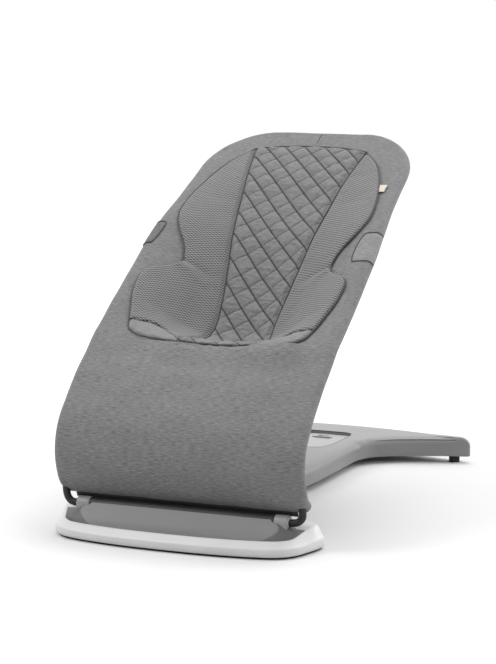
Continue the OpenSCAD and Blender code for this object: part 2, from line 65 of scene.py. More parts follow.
MM = 0.001
SIDES = ((-1, "left"), (1, "right"))


def row_y(from_front):
    """Row-frame y of a place measured in metres from the base's front edge."""
    return cad_low.y + from_front


# ---------------------------------------------------------------- mesh helpers


def new_object(name, verts, faces, uvs=None):
    """Mesh object with smooth shading; uvs has one pair for each vertex."""
    mesh = bpy.data.meshes.new(name)
    mesh.from_pydata([tuple(v) for v in verts], [], [tuple(f) for f in faces])
    mesh.validate()
    if uvs is not None:
        layer = mesh.uv_layers.new(name="cloth")
        loops = np.zeros(len(mesh.loops), np.int32)
        mesh.loops.foreach_get("vertex_index", loops)
        layer.data.foreach_set("uv", np.asarray(uvs, np.float32)[loops].ravel())
    mesh.polygons.foreach_set("use_smooth", [True] * len(mesh.polygons))
    obj = bpy.data.objects.new(name, mesh)
    bpy.context.scene.collection.objects.link(obj)
    return obj


def grid_faces(rows, cols, wrap=False):
    """Quads of a grid of vertices stored row by row, joined round if wrap is set."""
    last = cols if wrap else cols - 1
    faces = []
    for r in range(0, (rows - 1) * cols, cols):
        for c in range(last):
            after = (c + 1) % cols
            faces.append((r + c, r + after, r + cols + after, r + cols + c))
    return faces


def closed_pad(name, top, bottom, uvs):
    """Closed solid between two grids of points of the same shape."""
    rows, cols = top.shape[:2]
    count = rows * cols
    faces = grid_faces(rows, cols)
    faces += [tuple(count + v for v in reversed(f)) for f in grid_faces(rows, cols)]
    edge = list(range(cols))
    edge += [r * cols + cols - 1 for r in range(1, rows)]
    edge += [(rows - 1) * cols + c for c in range(cols - 2, -1, -1)]
    edge += [r * cols for r in range(rows - 2, 0, -1)]
    for a, b in zip(edge, edge[1:] + edge[:1]):
        faces.append((b, a, count + a, count + b))
    verts = np.concatenate([top.reshape(-1, 3), bottom.reshape(-1, 3)])
    flat = uvs.reshape(-1, 2)
    return new_object(name, verts, faces, np.concatenate([flat, flat]))


def capped(rows, count):
    """Faces of a stack of rings with count points each, closed at both ends."""
    last = (rows - 1) * count
    ends = [tuple(range(count - 1, -1, -1)), tuple(last + k for k in range(count))]
    return grid_faces(rows, count, wrap=True) + ends


def lofted(name, rings):
    """Closed solid through rings that all have the same number of points."""
    return new_object(name, np.concatenate(rings), capped(len(rings), len(rings[0])))


def raised(outline, z):
    """Points of a flat outline, given as x and distance from the front edge, at height z."""
    heights = np.broadcast_to(z, (len(outline),))
    return np.column_stack([outline[:, 0], row_y(outline[:, 1]), heights])


def unit(vectors):
    """The same vectors, each with length 1."""
    return vectors / np.linalg.norm(vectors, axis=-1)[..., None]


def swept(name, path, radius, sides, up=(0.31, 0.17, 0.93), closed=False):
    """Round tube along path; radius is one number or one for each point."""
    path = np.asarray(path, float)
    n = len(path)
    radii = np.broadcast_to(radius, (n,))
    if closed:
        tangent = unit(np.roll(path, -1, 0) - np.roll(path, 1, 0))
    else:
        tangent = unit(np.gradient(path, axis=0))
    side = np.cross(tangent[0], up)
    verts, uvs, run = [], [], 0.0
    for i in range(n):
        side = side - tangent[i] * side.dot(tangent[i])
        side /= np.linalg.norm(side)
        other = np.cross(tangent[i], side)
        if i:
            run += np.linalg.norm(path[i] - path[i - 1])
        for k in range(sides):
            a = 2 * math.pi * k / sides
            verts.append(path[i] + radii[i] * (math.cos(a) * side + math.sin(a) * other))
            uvs.append((radii[i] * a, run))
    if not closed:
        return new_object(name, verts, capped(n, sides), uvs)
    faces = grid_faces(n, sides, wrap=True)
    last = (n - 1) * sides
    for k in range(sides):
        after = (k + 1) % sides
        faces.append((last + k, last + after, after, k))
    return new_object(name, verts, faces, uvs)


def curve_through(points, steps):
    """Catmull-Rom curve through points, with that many steps a span."""
    p = np.asarray(points, float)
    out = []
    for i in range(len(p) - 1):
        a, b = p[max(i - 1, 0)], p[i]
        c, d = p[i + 1], p[min(i + 2, len(p) - 1)]
        for k in range(steps + (1 if i == len(p) - 2 else 0)):
            t = k / steps
            slope = (c - a) * t
            bend = (2 * a - 5 * b + 4 * c - d) * t * t
            twist = (3 * b - a - 3 * c + d) * t * t * t
            out.append(0.5 * (2 * b + slope + bend + twist))
    return np.array(out)


def even(path, count):
    """The same path with count points at equal distances."""
    path = np.asarray(path, float)
    run = np.concatenate([[0], np.cumsum(np.linalg.norm(np.diff(path, axis=0), axis=1))])
    places = np.linspace(0, run[-1], count)
    return np.stack([np.interp(places, run, path[:, k]) for k in range(path.shape[1])], 1)


def smoothstep(low, high, value):
    """0 below low, 1 above high and smooth between; works downwards too."""
    t = np.clip((value - low) / (high - low), 0, 1)
    return t * t * (3 - 2 * t)


def cut(obj, *tools):
    """Takes the tools' solids out of obj and deletes them."""
    for tool in tools:
        m = obj.modifiers.new("cut", "BOOLEAN")
        m.operation = "DIFFERENCE"
        m.solver = "EXACT"
        m.object = tool
    bake_modifiers(obj)
    for tool in tools:
        bpy.data.objects.remove(tool)


def bake_modifiers(obj):
    """Puts the result of the modifiers into the mesh."""
    bpy.context.view_layer.update()
    evaluated = obj.evaluated_get(bpy.context.evaluated_depsgraph_get())
    mesh = bpy.data.meshes.new_from_object(evaluated)
    obj.modifiers.clear()
    obj.data = mesh


def sharpen(obj, degrees=32):
    """Smooth shading that breaks at edges sharper than that angle."""
    obj.data.polygons.foreach_set("use_smooth", [True] * len(obj.data.polygons))
    obj.data.set_sharp_from_angle(angle=math.radians(degrees))
    m = obj.modifiers.new("normals", "WEIGHTED_NORMAL")
    m.keep_sharp = True


def soften(node, width, segments=2):
    """Rounds the edges of a CAD node that keeps its own mesh."""
    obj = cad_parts[node]
    weld = obj.modifiers.new("weld", "WELD")
    weld.merge_threshold = 0.00002
    bevel = obj.modifiers.new("bevel", "BEVEL")
    bevel.width = width
    bevel.segments = segments
    bevel.limit_method = "ANGLE"
    bevel.angle_limit = math.radians(35)


def dress(obj, material, body, replaces=()):
    """Gives a new piece its material, its body and the CAD nodes it stands for."""
    obj.data.materials.clear()
    obj.data.materials.append(material)
    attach(obj, body)
    if replaces:
        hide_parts(*replaces)


# ---------------------------------------------------------------- materials

# Quilting lines as s + slope * x = first + k * spacing
FALLING = (1.11, 0.6195, 0.0393)
RISING = (-0.98, 0.4240, 0.0376)
SPECK = 0.03  # how far moulded plastic strays from its colour


class Nodes:
    """Small helper that builds one material's node tree."""

    def __init__(self, name, base=(0.5, 0.5, 0.5), roughness=0.5, **inputs):
        self.material = bpy.data.materials.new(name)
        self.material.use_nodes = True
        self.tree = self.material.node_tree
        self.shader = self.tree.nodes["Principled BSDF"]
        self.shader.inputs["Base Color"].default_value = (*base, 1)
        self.shader.inputs["Roughness"].default_value = roughness
        for key, value in inputs.items():
            self.shader.inputs[key.replace("_", " ")].default_value = value

    def node(self, kind, inputs=None, **settings):
        made = self.tree.nodes.new(kind)
        for key, value in settings.items():
            setattr(made, key, value)
        for key, value in (inputs or {}).items():
            self.put(made.inputs[key], value)
        return made

    def put(self, socket, value):
        if isinstance(value, bpy.types.NodeSocket):
            self.tree.links.new(value, socket)
        else:
            socket.default_value = value

    def math(self, operation, a, b=0.0):
        made = self.node("ShaderNodeMath", operation=operation)
        self.put(made.inputs[0], a)
        self.put(made.inputs[1], b)
        return made.outputs[0]

    def times(self, a, b):
        return self.math("MULTIPLY", a, b)

    def wave(self, kind, value, pitch):
        """Sine or cosine of value that repeats every pitch metres."""
        return self.math(kind, self.times(value, 2 * math.pi / pitch))

    def cloth(self):
        """Cloth coordinates as outputs X and Y."""
        uv = self.node("ShaderNodeUVMap", uv_map="cloth").outputs["UV"]
        return self.node("ShaderNodeSeparateXYZ", {"Vector": uv}).outputs

    def coords(self, kind="Object", scale=(1, 1, 1)):
        """Object or cloth coordinates in metres, scaled."""
        if kind == "cloth":
            source = self.node("ShaderNodeUVMap", uv_map="cloth").outputs["UV"]
        else:
            source = self.node("ShaderNodeTexCoord").outputs[kind]
        made = self.node("ShaderNodeMapping", {"Vector": source, "Scale": scale})
        return made.outputs["Vector"]

    def noise(self, vector, scale=1.0, detail=2.0, roughness=0.5):
        inputs = {"Vector": vector, "Scale": scale, "Detail": detail, "Roughness": roughness}
        return self.node("ShaderNodeTexNoise", inputs).outputs["Fac"]

    def ramp(self, value, stops):
        """Colour along value; each stop is a position and a grey or a colour."""
        made = self.node("ShaderNodeValToRGB", {"Fac": value})
        elements = made.color_ramp.elements
        while len(elements) < len(stops):
            elements.new(0.5)
        for element, (place, colour) in zip(elements, stops):
            element.position = place
            if not hasattr(colour, "__len__"):
                colour = (colour,) * 3
            element.color = (*colour, 1)
        return made.outputs["Color"]

    def spread(self, value, low, high, to_low=0.0, to_high=1.0):
        inputs = {"Value": value, "From Min": low, "From Max": high}
        inputs.update({"To Min": to_low, "To Max": to_high})
        return self.node("ShaderNodeMapRange", inputs).outputs["Result"]

    def blend(self, factor, a, b, mode="MIX"):
        made = self.node("ShaderNodeMix", data_type="RGBA", blend_type=mode)
        self.put(made.inputs["Factor"], factor)
        for socket, value in ((made.inputs[6], a), (made.inputs[7], b)):
            if not isinstance(value, bpy.types.NodeSocket):
                if not hasattr(value, "__len__"):
                    value = (value,) * 3
                value = (*value, 1)
            self.put(socket, value)
        return made.outputs[2]

    def colour(self, value):
        self.tree.links.new(value, self.shader.inputs["Base Color"])

    def rough(self, value):
        self.tree.links.new(value, self.shader.inputs["Roughness"])

    def bump(self, height, distance, strength=1.0, under=None):
        inputs = {"Height": height, "Distance": distance, "Strength": strength}
        made = self.node("ShaderNodeBump", inputs)
        if under is not None:
            self.put(made.inputs["Normal"], under)
        self.tree.links.new(made.outputs["Normal"], self.shader.inputs["Normal"])
        return made.outputs["Normal"]


def jersey(name, dark, light, streak=1.0, lines=()):
    """Heather stretch jersey: short level flecks of two yarns over fine wales.

    Each entry of lines is a family of stitched lines: slope, first and spacing, then the
    width and the strength of the dark mark. The mark is the stitch plus painted shade in
    the quilting channel beside it.
    """
    m = Nodes(name, roughness=0.92, Sheen_Weight=0.08, Sheen_Roughness=0.5, Specular_IOR_Level=0.2)
    flecks = m.noise(m.coords("cloth", (95, 640, 1)), 1, 3, 0.66)
    yarn = m.noise(m.coords("cloth", (420, 1500, 1)), 1, 2, 0.55)
    cloud = m.noise(m.coords("cloth", (14, 40, 1)), 1, 2)
    mixed = m.math("ADD", m.times(flecks, 0.74 * streak), m.times(yarn, 0.22))
    mixed = m.math("ADD", mixed, m.times(cloud, 0.10))
    middle = tuple((a + b) / 2 for a, b in zip(dark, light))
    tone = m.ramp(mixed, [(0.36, dark), (0.52, middle), (0.70, light)])
    cloth = m.cloth()
    for slope, first, spacing, reach, depth in lines:
        place = m.math("ADD", cloth["Y"], m.times(cloth["X"], slope))
        turn = m.math("DIVIDE", m.math("SUBTRACT", place, first), spacing)
        off = m.math("ABSOLUTE", m.math("SINE", m.times(turn, math.pi)))
        # Darkens each stitched line: the stitch itself plus painted shade in its channel
        tone = m.blend(m.spread(off, 0.0, reach, depth, 0.0), tone, (0.018, 0.018, 0.018))
    m.colour(tone)
    weave = m.times(m.wave("SINE", cloth["X"], 0.0011), m.wave("SINE", cloth["Y"], 0.0009))
    m.bump(yarn, 0.0004, 0.5, under=m.bump(weave, 0.00012, 0.5))
    return m.material


def mesh_knit():
    """Spacer mesh: offset rows of small dark holes in a soft grey knit."""
    m = Nodes("mesh_knit", roughness=0.88, Sheen_Weight=0.2, Specular_IOR_Level=0.25)
    cloth = m.cloth()
    lattice = m.times(m.wave("COSINE", cloth["X"], 0.0086), m.wave("COSINE", cloth["Y"], 0.0046))
    holes = m.spread(lattice, 0.05, 0.75)
    knots = m.spread(lattice, -0.95, -0.2, 1.0, 0.0)
    cloud = m.noise(m.coords("cloth", (30, 30, 1)), 1, 2)
    lit = m.blend(knots, m.blend(cloud, 0.165, 0.200), 0.29)
    m.colour(m.blend(holes, lit, 0.030))
    m.bump(m.math("SUBTRACT", m.times(knots, 0.5), holes), 0.0011, 0.8)
    return m.material


def moulded(name, colour, roughness, grain=0.00006):
    """Moulded plastic with a fine spark texture and slight mottling."""
    m = Nodes(name, colour, roughness, Specular_IOR_Level=0.45)
    fine = m.noise(m.coords(), 2600, 2, 0.6)
    broad = m.noise(m.coords(), 16, 3)
    dark = tuple(c * (1 - 2 * SPECK) for c in colour)
    light = tuple(min(1, c * (1 + SPECK)) for c in colour)
    tone = m.blend(m.spread(broad, 0.3, 0.7), dark, light)
    m.colour(m.blend(m.spread(fine, 0.3, 0.7, 0, 0.5), tone, dark))
    m.rough(m.spread(broad, 0.25, 0.75, roughness - 0.05, roughness + 0.06))
    m.bump(fine, grain, 0.6)
    return m.material


def coated(name, colour, roughness, peel=0.00005, metallic=0.0):
    """Powder coat or plating: orange peel, with worn lighter spots."""
    m = Nodes(name, colour, roughness, Metallic=metallic)
    bumps = m.noise(m.coords(), 900, 2)
    wear = m.noise(m.coords(), 60, 4, 0.65)
    lighter = tuple(min(1, c * 1.6 + 0.015) for c in colour)
    m.colour(m.blend(m.spread(wear, 0.62, 0.80, 0, 0.5), colour, lighter))
    m.rough(m.spread(wear, 0.3, 0.7, roughness - 0.06, roughness + 0.08))
    m.bump(bumps, peel, 0.5)
    return m.material


def rubber(name, colour):
    """Matt rubber with fine pores and a little dust."""
    m = Nodes(name, colour, 0.85)
    dust = m.noise(m.coords(), 120, 4, 0.6)
    pores = m.noise(m.coords(), 2200, 1)
    pale = tuple(c * 1.7 + 0.012 for c in colour)
    m.colour(m.blend(m.spread(dust, 0.45, 0.8), colour, pale))
    m.bump(pores, 0.00008, 0.6)
    return m.material


def thread(name, colour):
    """Twisted sewing thread or piping cord."""
    m = Nodes(name, colour, 0.8)
    twist = m.node(
        "ShaderNodeTexWave",
        {"Vector": m.coords("cloth", (1, 1, 1)), "Scale": 260.0, "Distortion": 0.4},
        wave_type="BANDS",
        bands_direction="DIAGONAL",
    ).outputs["Fac"]
    pale = tuple(c * 1.5 + 0.01 for c in colour)
    m.colour(m.blend(twist, colour, pale))
    m.bump(twist, 0.00025, 0.7)
    return m.material


def woven_tape():
    """Cream label tape in plain weave, with nothing printed on it."""
    m = Nodes("tag_tape", (0.86, 0.82, 0.74), 0.75, Sheen_Weight=0.15)
    bricks = m.node(
        "ShaderNodeTexBrick",
        {
            "Vector": m.coords("cloth", (1, 1, 1)),
            "Color1": (0.66, 0.61, 0.52, 1),
            "Color2": (0.56, 0.51, 0.43, 1),
            "Mortar": (0.42, 0.38, 0.32, 1),
            "Scale": 1.0,
            "Mortar Size": 0.00008,
            "Brick Width": 0.0011,
            "Row Height": 0.0006,
        },
    )
    m.colour(bricks.outputs["Color"])
    m.bump(bricks.outputs["Fac"], 0.0002, -0.5)
    return m.material


def grey(level):
    """Grey with a trace of blue."""
    return level, level, level + 0.002


MAT = {
    "jersey": jersey("heather_jersey", grey(0.095), grey(0.250)),
    # Quilted jersey: the falling lines get a wider, stronger dark mark than the rising ones,
    # painted shade that is stronger where the light falls across the channels
    "quilt": jersey("quilted_heather", grey(0.150), grey(0.270), 0.8,
                    [(*FALLING, 0.26, 0.90), (*RISING, 0.18, 0.55)]),
    "tab": jersey("tab_jersey", grey(0.130), grey(0.300)),
    # Darker copy of the tab jersey: painted shade for the left side tab
    "tab_painted_shade": jersey("tab_painted_shade_jersey", grey(0.075), grey(0.200)),
    "knit": mesh_knit(),
    "silver": moulded("satin_silver", (0.62, 0.62, 0.625), 0.36),
    # Dark grey of the foot's inner slope: painted shade from the seat above; it is the same
    # plastic as the silver rim
    "slope": moulded("slope_painted_shade_grey", (0.12, 0.12, 0.121), 0.5, 0.0001),
    "strip": jersey("strip_jersey", grey(0.155), grey(0.300), 0.8),
    # Grey of the ramp panel, darker than the silver rim: painted shade from the seat over the dish
    "dish": moulded("dish_grey", grey(0.225), 0.5, 0.0001),
    "housing": moulded("housing_grey", grey(0.30), 0.42),
    "panel": moulded("panel_white", (0.35, 0.35, 0.35), 0.45),
    "deck": moulded("deck_silver", grey(0.238), 0.40),
    "tray": moulded("tray_grey", grey(0.16), 0.6),
    "dark": moulded("dark_plastic", grey(0.022), 0.5, 0.00008),
    "nylon": moulded("bush_nylon", (0.72, 0.71, 0.66), 0.4),
    "black_rod": coated("black_steel", (0.008, 0.008, 0.008), 0.55),
    "frame": coated("frame_steel", (0.085, 0.085, 0.09), 0.42),
    "steel": coated("bright_steel", (0.55, 0.55, 0.56), 0.32, 0.00002, 1.0),
    "ballast": coated("ballast_steel", grey(0.05), 0.7, 0.0002, 0.6),
    "rubber": rubber("grip_rubber", (0.016, 0.016, 0.016)),
    "brake": rubber("brake_rubber", (0.05, 0.035, 0.03)),
    "stitch": thread("dark_thread", (0.035, 0.035, 0.036)),
    "piping": thread("piping_cord", grey(0.060)),
    "tape": woven_tape(),
}

# ---------------------------------------------------------------- seat surface

# Side profile from the hem to the top: place from the front edge, height,
# half-width and how far the middle sags below the rails, in millimetres
SEAT_ROWS = np.array([
    (80, 57, 195, 0), (60, 73, 196, 0), (47, 112, 196, 0), (50, 148, 196, 1),
    (69, 181, 196, 2), (115, 227, 196, 5), (153, 257, 196, 10), (181, 280, 196, 19),
    (201, 293, 196, 31), (217, 303, 196, 52), (241, 319, 196, 78), (265, 334, 196, 86),
    (315, 366, 195, 75), (364, 398, 194, 60), (418, 432, 190, 40), (480, 465, 184, 23),
    (531, 491, 181, 8), (582, 517, 179, 0), (622, 538, 179, 0), (663, 560, 179, 0),
], float) * MM
LINE = curve_through(SEAT_ROWS, 16)
RUN = np.concatenate([[0], np.cumsum(np.hypot(np.diff(LINE[:, 0]), np.diff(LINE[:, 1])))])
TOP_S = RUN[-1]
TANGENT = unit(np.gradient(LINE[:, :2], axis=0))
# Top corners: half-width left flat, height of the corner and how square it is
CORNER_FLAT, CORNER_HIGH, CORNER_POWER = 0.080, 0.110, 1.8
WRAP = 0.0095  # radius of the fabric's outer face round the 12 mm tube
LEVEL_FROM = 0.93  # share of the half-width beyond which the fabric is level


def at(s, column):
    """A column of the side profile at s."""
    return np.interp(s, RUN, LINE[:, column])


def along(s):
    """Direction of the side profile at s, as shares of y and z."""
    return unit(np.stack([np.interp(s, RUN, TANGENT[:, k]) for k in (0, 1)], -1))


def half_at(s):
    """Half-width of the seat at s, with the rounded top corners."""
    from_top = np.clip(TOP_S - np.asarray(s, float), 0, CORNER_HIGH)
    drop = ((CORNER_HIGH - from_top) / CORNER_HIGH) ** CORNER_POWER
    full = (1 - drop) ** (1 / CORNER_POWER)
    return CORNER_FLAT * (1 - full) + at(s, 2) * full


def seat(s, x, up=0.0):
    """Points of the seat's surface, raised by up along its normal."""
    s, x = np.broadcast_arrays(np.asarray(s, float), np.asarray(x, float))
    t = np.clip(x / half_at(s), -1, 1)
    sag = at(s, 3) * np.clip(1 - (t / LEVEL_FROM) ** 2, 0, 1) ** 1.8
    direction = along(s)
    lift = up - sag
    y = row_y(at(s, 0)) - direction[..., 1] * lift
    return np.stack([x, y, at(s, 1) + direction[..., 0] * lift], -1)


def outline_at(count):
    """The seat's outer edge from the right hem round the top to the left hem, as (x, s)."""
    sides = [(half_at(s), s) for s in np.linspace(0, TOP_S - CORNER_HIGH, 200)]
    width = at(TOP_S, 2) - CORNER_FLAT
    corner = []
    for a in np.linspace(0, math.pi / 2, 60)[1:]:
        rise = math.sin(a) ** (2 / CORNER_POWER)
        x = CORNER_FLAT + width * math.cos(a) ** (2 / CORNER_POWER)
        corner.append((x, TOP_S - CORNER_HIGH + CORNER_HIGH * rise))
    right = np.array(sides + corner + [(0.0, TOP_S)])
    left = right[-2::-1] * (-1, 1)
    return even(np.concatenate([right, left]), count)


def edge_normals(outline):
    """Outward normals of an open outline in the plane of x and s."""
    direction = unit(np.gradient(outline, axis=0))
    return np.stack([direction[:, 1], -direction[:, 0]], 1)


# ---------------------------------------------------------------- camera, light


CAMERA_PLACE, CAMERA_LENS = (1.223, -3.087, 0.786), 115.93
CAMERA_AZIMUTH, CAMERA_PITCH = math.radians(22.0), math.radians(8.98)

FLOOR = 14.0  # half-width of the floor sheet
# Sky brightness along an axis: from, to, and the brightness at each end
SKY = (("Y", -0.35, 0.55, 0.10, 1.05), ("Z", 0.10, 0.80, 0.0, 0.70))
# Lamps: name, place, target, size in metres, power in watts
LAMPS = (
    ("key", (-1.9, -1.6, 2.4), (0, 0, 0.25), 1.6, 46),
    ("top", (0.3, 0.9, 2.6), (0, 0.1, 0.2), 1.8, 26),
    ("side", (2.4, -0.6, 1.3), (0, 0, 0.2), 1.0, 8),
    ("rim", (1.7, 1.5, 0.9), (0.1, 0.1, 0.3), 0.7, 11),
)


def make_camera():
    level = math.cos(CAMERA_PITCH)
    look = Vector((-math.sin(CAMERA_AZIMUTH) * level, math.cos(CAMERA_AZIMUTH) * level,
                   -math.sin(CAMERA_PITCH)))
    data = bpy.data.cameras.new("camera")
    data.lens, data.sensor_width = CAMERA_LENS, 36.0
    camera = bpy.data.objects.new("camera", data)
    camera.location = CAMERA_PLACE
    camera.rotation_euler = look.to_track_quat("-Z", "Y").to_euler()
    bpy.context.scene.collection.objects.link(camera)
    bpy.context.scene.camera = camera


def area_light(name, place, target, size, power):
    data = bpy.data.lights.new(name, "AREA")
    data.shape = "DISK"
    data.size, data.energy = size, power
    lamp = bpy.data.objects.new(name, data)
    lamp.location = place
    aim = Vector(target) - Vector(place)
    lamp.rotation_euler = aim.to_track_quat("-Z", "Y").to_euler()
    bpy.context.scene.collection.objects.link(lamp)


def make_studio():
    """White backdrop for the camera, a graded sky for the light, the lamps and the floor."""
    scene = bpy.context.scene
    world = bpy.data.worlds.new("studio")
    world.use_nodes = True
    scene.world = world
    tree = world.node_tree
    join = tree.links.new
    sky = tree.nodes["Background"]
    backdrop = tree.nodes.new("ShaderNodeBackground")
    for shader in (sky, backdrop):
        shader.inputs["Color"].default_value = (1.0, 1.0, 1.0, 1)
    split = tree.nodes.new("ShaderNodeSeparateXYZ")
    join(tree.nodes.new("ShaderNodeTexCoord").outputs["Generated"], split.inputs["Vector"])
    total = tree.nodes.new("ShaderNodeMath")
    for socket, (axis, *limits) in zip(total.inputs, SKY):
        spread = tree.nodes.new("ShaderNodeMapRange")
        spread.interpolation_type = "SMOOTHSTEP"
        for key, value in zip(("From Min", "From Max", "To Min", "To Max"), limits):
            spread.inputs[key].default_value = value
        join(split.outputs[axis], spread.inputs["Value"])
        join(spread.outputs["Result"], socket)
    join(total.outputs["Value"], sky.inputs["Strength"])
    seen = tree.nodes.new("ShaderNodeLightPath")
    either = tree.nodes.new("ShaderNodeMixShader")
    join(seen.outputs["Is Camera Ray"], either.inputs["Fac"])
    join(sky.outputs["Background"], either.inputs[1])
    join(backdrop.outputs["Background"], either.inputs[2])
    join(either.outputs["Shader"], tree.nodes["World Output"].inputs["Surface"])
    scene.view_settings.view_transform = "Standard"
    for lamp in LAMPS:
        area_light(*lamp)
    corners = [(-FLOOR, -FLOOR, 0), (FLOOR, -FLOOR, 0), (FLOOR, FLOOR, 0), (-FLOOR, FLOOR, 0)]
    floor_mesh = bpy.data.meshes.new("floor")
    floor_mesh.from_pydata(corners, [], [(0, 1, 2, 3)])
    floor = bpy.data.objects.new("floor", floor_mesh)
    floor.location.z = -0.0002
    m = Nodes("floor_paper", (0.7, 0.7, 0.7), 0.9, Specular_IOR_Level=0.0)
    # Painted light: the floor's colour is darker near the seat and lighter far off, so the far
    # floor reads white while the seat's shadows still show
    away = m.node("ShaderNodeVectorMath", {0: m.coords()}, operation="LENGTH")
    m.colour(m.blend(m.spread(away.outputs["Value"], 0.45, 1.5), 0.68, 0.97))
    floor_mesh.materials.append(m.material)
    scene.collection.objects.link(floor)


# ---------------------------------------------------------------- padding by cloth simulation


def cubic_weights(coarse, fine):
    """Catmull-Rom weights that carry values at coarse even places to fine even places."""
    weights = np.zeros((fine, coarse))
    for row, place in enumerate(np.linspace(0, coarse - 1, fine)):
        cell = min(int(place), coarse - 2)
        t = place - cell
        for offset, share in (
            (-1, -t + 2 * t**2 - t**3),
            (0, 2 - 5 * t**2 + 3 * t**3),
            (1, t + 4 * t**2 - 3 * t**3),
            (2, t**3 - t**2),
        ):
            weights[row, min(max(cell + offset, 0), coarse - 1)] += share / 2
    return weights


CLOTH_FRAMES = 20


def inflated(points, pinned, pressure, slack):
    """How far a cloth laid over points rises when it is blown up, from 0 to 1.

    The cloth is held where pinned is true, has that share of spare length, and rises
    along its own normal; the highest rise is 1.
    """
    rows, cols = points.shape[:2]
    obj = new_object("cloth_trial", points.reshape(-1, 3), grid_faces(rows, cols))
    group = obj.vertex_groups.new(name="held")
    group.add([int(i) for i in np.flatnonzero(pinned.ravel())], 1.0, "REPLACE")
    normals = np.zeros(rows * cols * 3, np.float32)
    obj.data.vertices.foreach_get("normal", normals)
    cloth = obj.modifiers.new("cloth", "CLOTH")
    settings = cloth.settings
    settings.vertex_group_mass = "held"
    settings.quality = 6
    settings.mass = 0.15
    settings.tension_stiffness = settings.compression_stiffness = 12
    settings.shear_stiffness = 8
    settings.bending_stiffness = 0.3
    settings.air_damping = 4
    settings.shrink_min = -slack
    settings.use_pressure = True
    settings.uniform_pressure_force = pressure
    settings.effector_weights.gravity = 0
    cloth.collision_settings.use_collision = False
    cloth.point_cache.frame_start, cloth.point_cache.frame_end = 1, CLOTH_FRAMES
    scene = bpy.context.scene
    for step in range(1, CLOTH_FRAMES + 1):
        scene.frame_set(step)
    bake_modifiers(obj)
    moved = np.zeros(rows * cols * 3, np.float32)
    obj.data.vertices.foreach_get("co", moved)
    scene.frame_set(1)
    bpy.data.objects.remove(obj)
    shift = moved.reshape(-1, 3) - points.reshape(-1, 3)
    rise = np.abs((shift * normals.reshape(-1, 3)).sum(1)).reshape(rows, cols)
    return np.clip(rise / np.percentile(rise, 98), 0, 1.08)


def spread_out(values, coarse, fine):
    """Values on a coarse grid carried to a fine one; sizes are columns and rows."""
    across = cubic_weights(coarse[0], fine[0]).T
    return cubic_weights(coarse[1], fine[1]) @ values @ across


def held_edges(held):
    """The same mask with the whole border held too."""
    held[0] = held[-1] = True
    held[:, 0] = held[:, -1] = True
    return held


# ---------------------------------------------------------------- seat cover


COVER_THICK, HEM_R = 0.0016, 0.0045


def cover_detail(s, x):
    """Small unevenness of the stretched jersey, in metres along the normal."""
    ripples = 0.0005 * np.sin(x * 61 + 3 * np.sin(s * 23)) * np.sin(s * 37 + x * 19)
    crest = np.exp(-(((s - 0.300) / 0.030) ** 2)) * np.exp(-((x / 0.10) ** 2))
    folds = 0.0011 * crest * np.sin(s * 420 + 9 * np.sin(x * 40))
    reach = smoothstep(-0.100, -0.060, x) * smoothstep(0.172, 0.120, x)
    lap = (0.0065 + 0.0040 * smoothstep(0.03, 0.09, x)) * smoothstep(0.235, 0.2900, s)
    lap = lap * smoothstep(0.2972, 0.2915, s) * reach
    return ripples + folds + lap


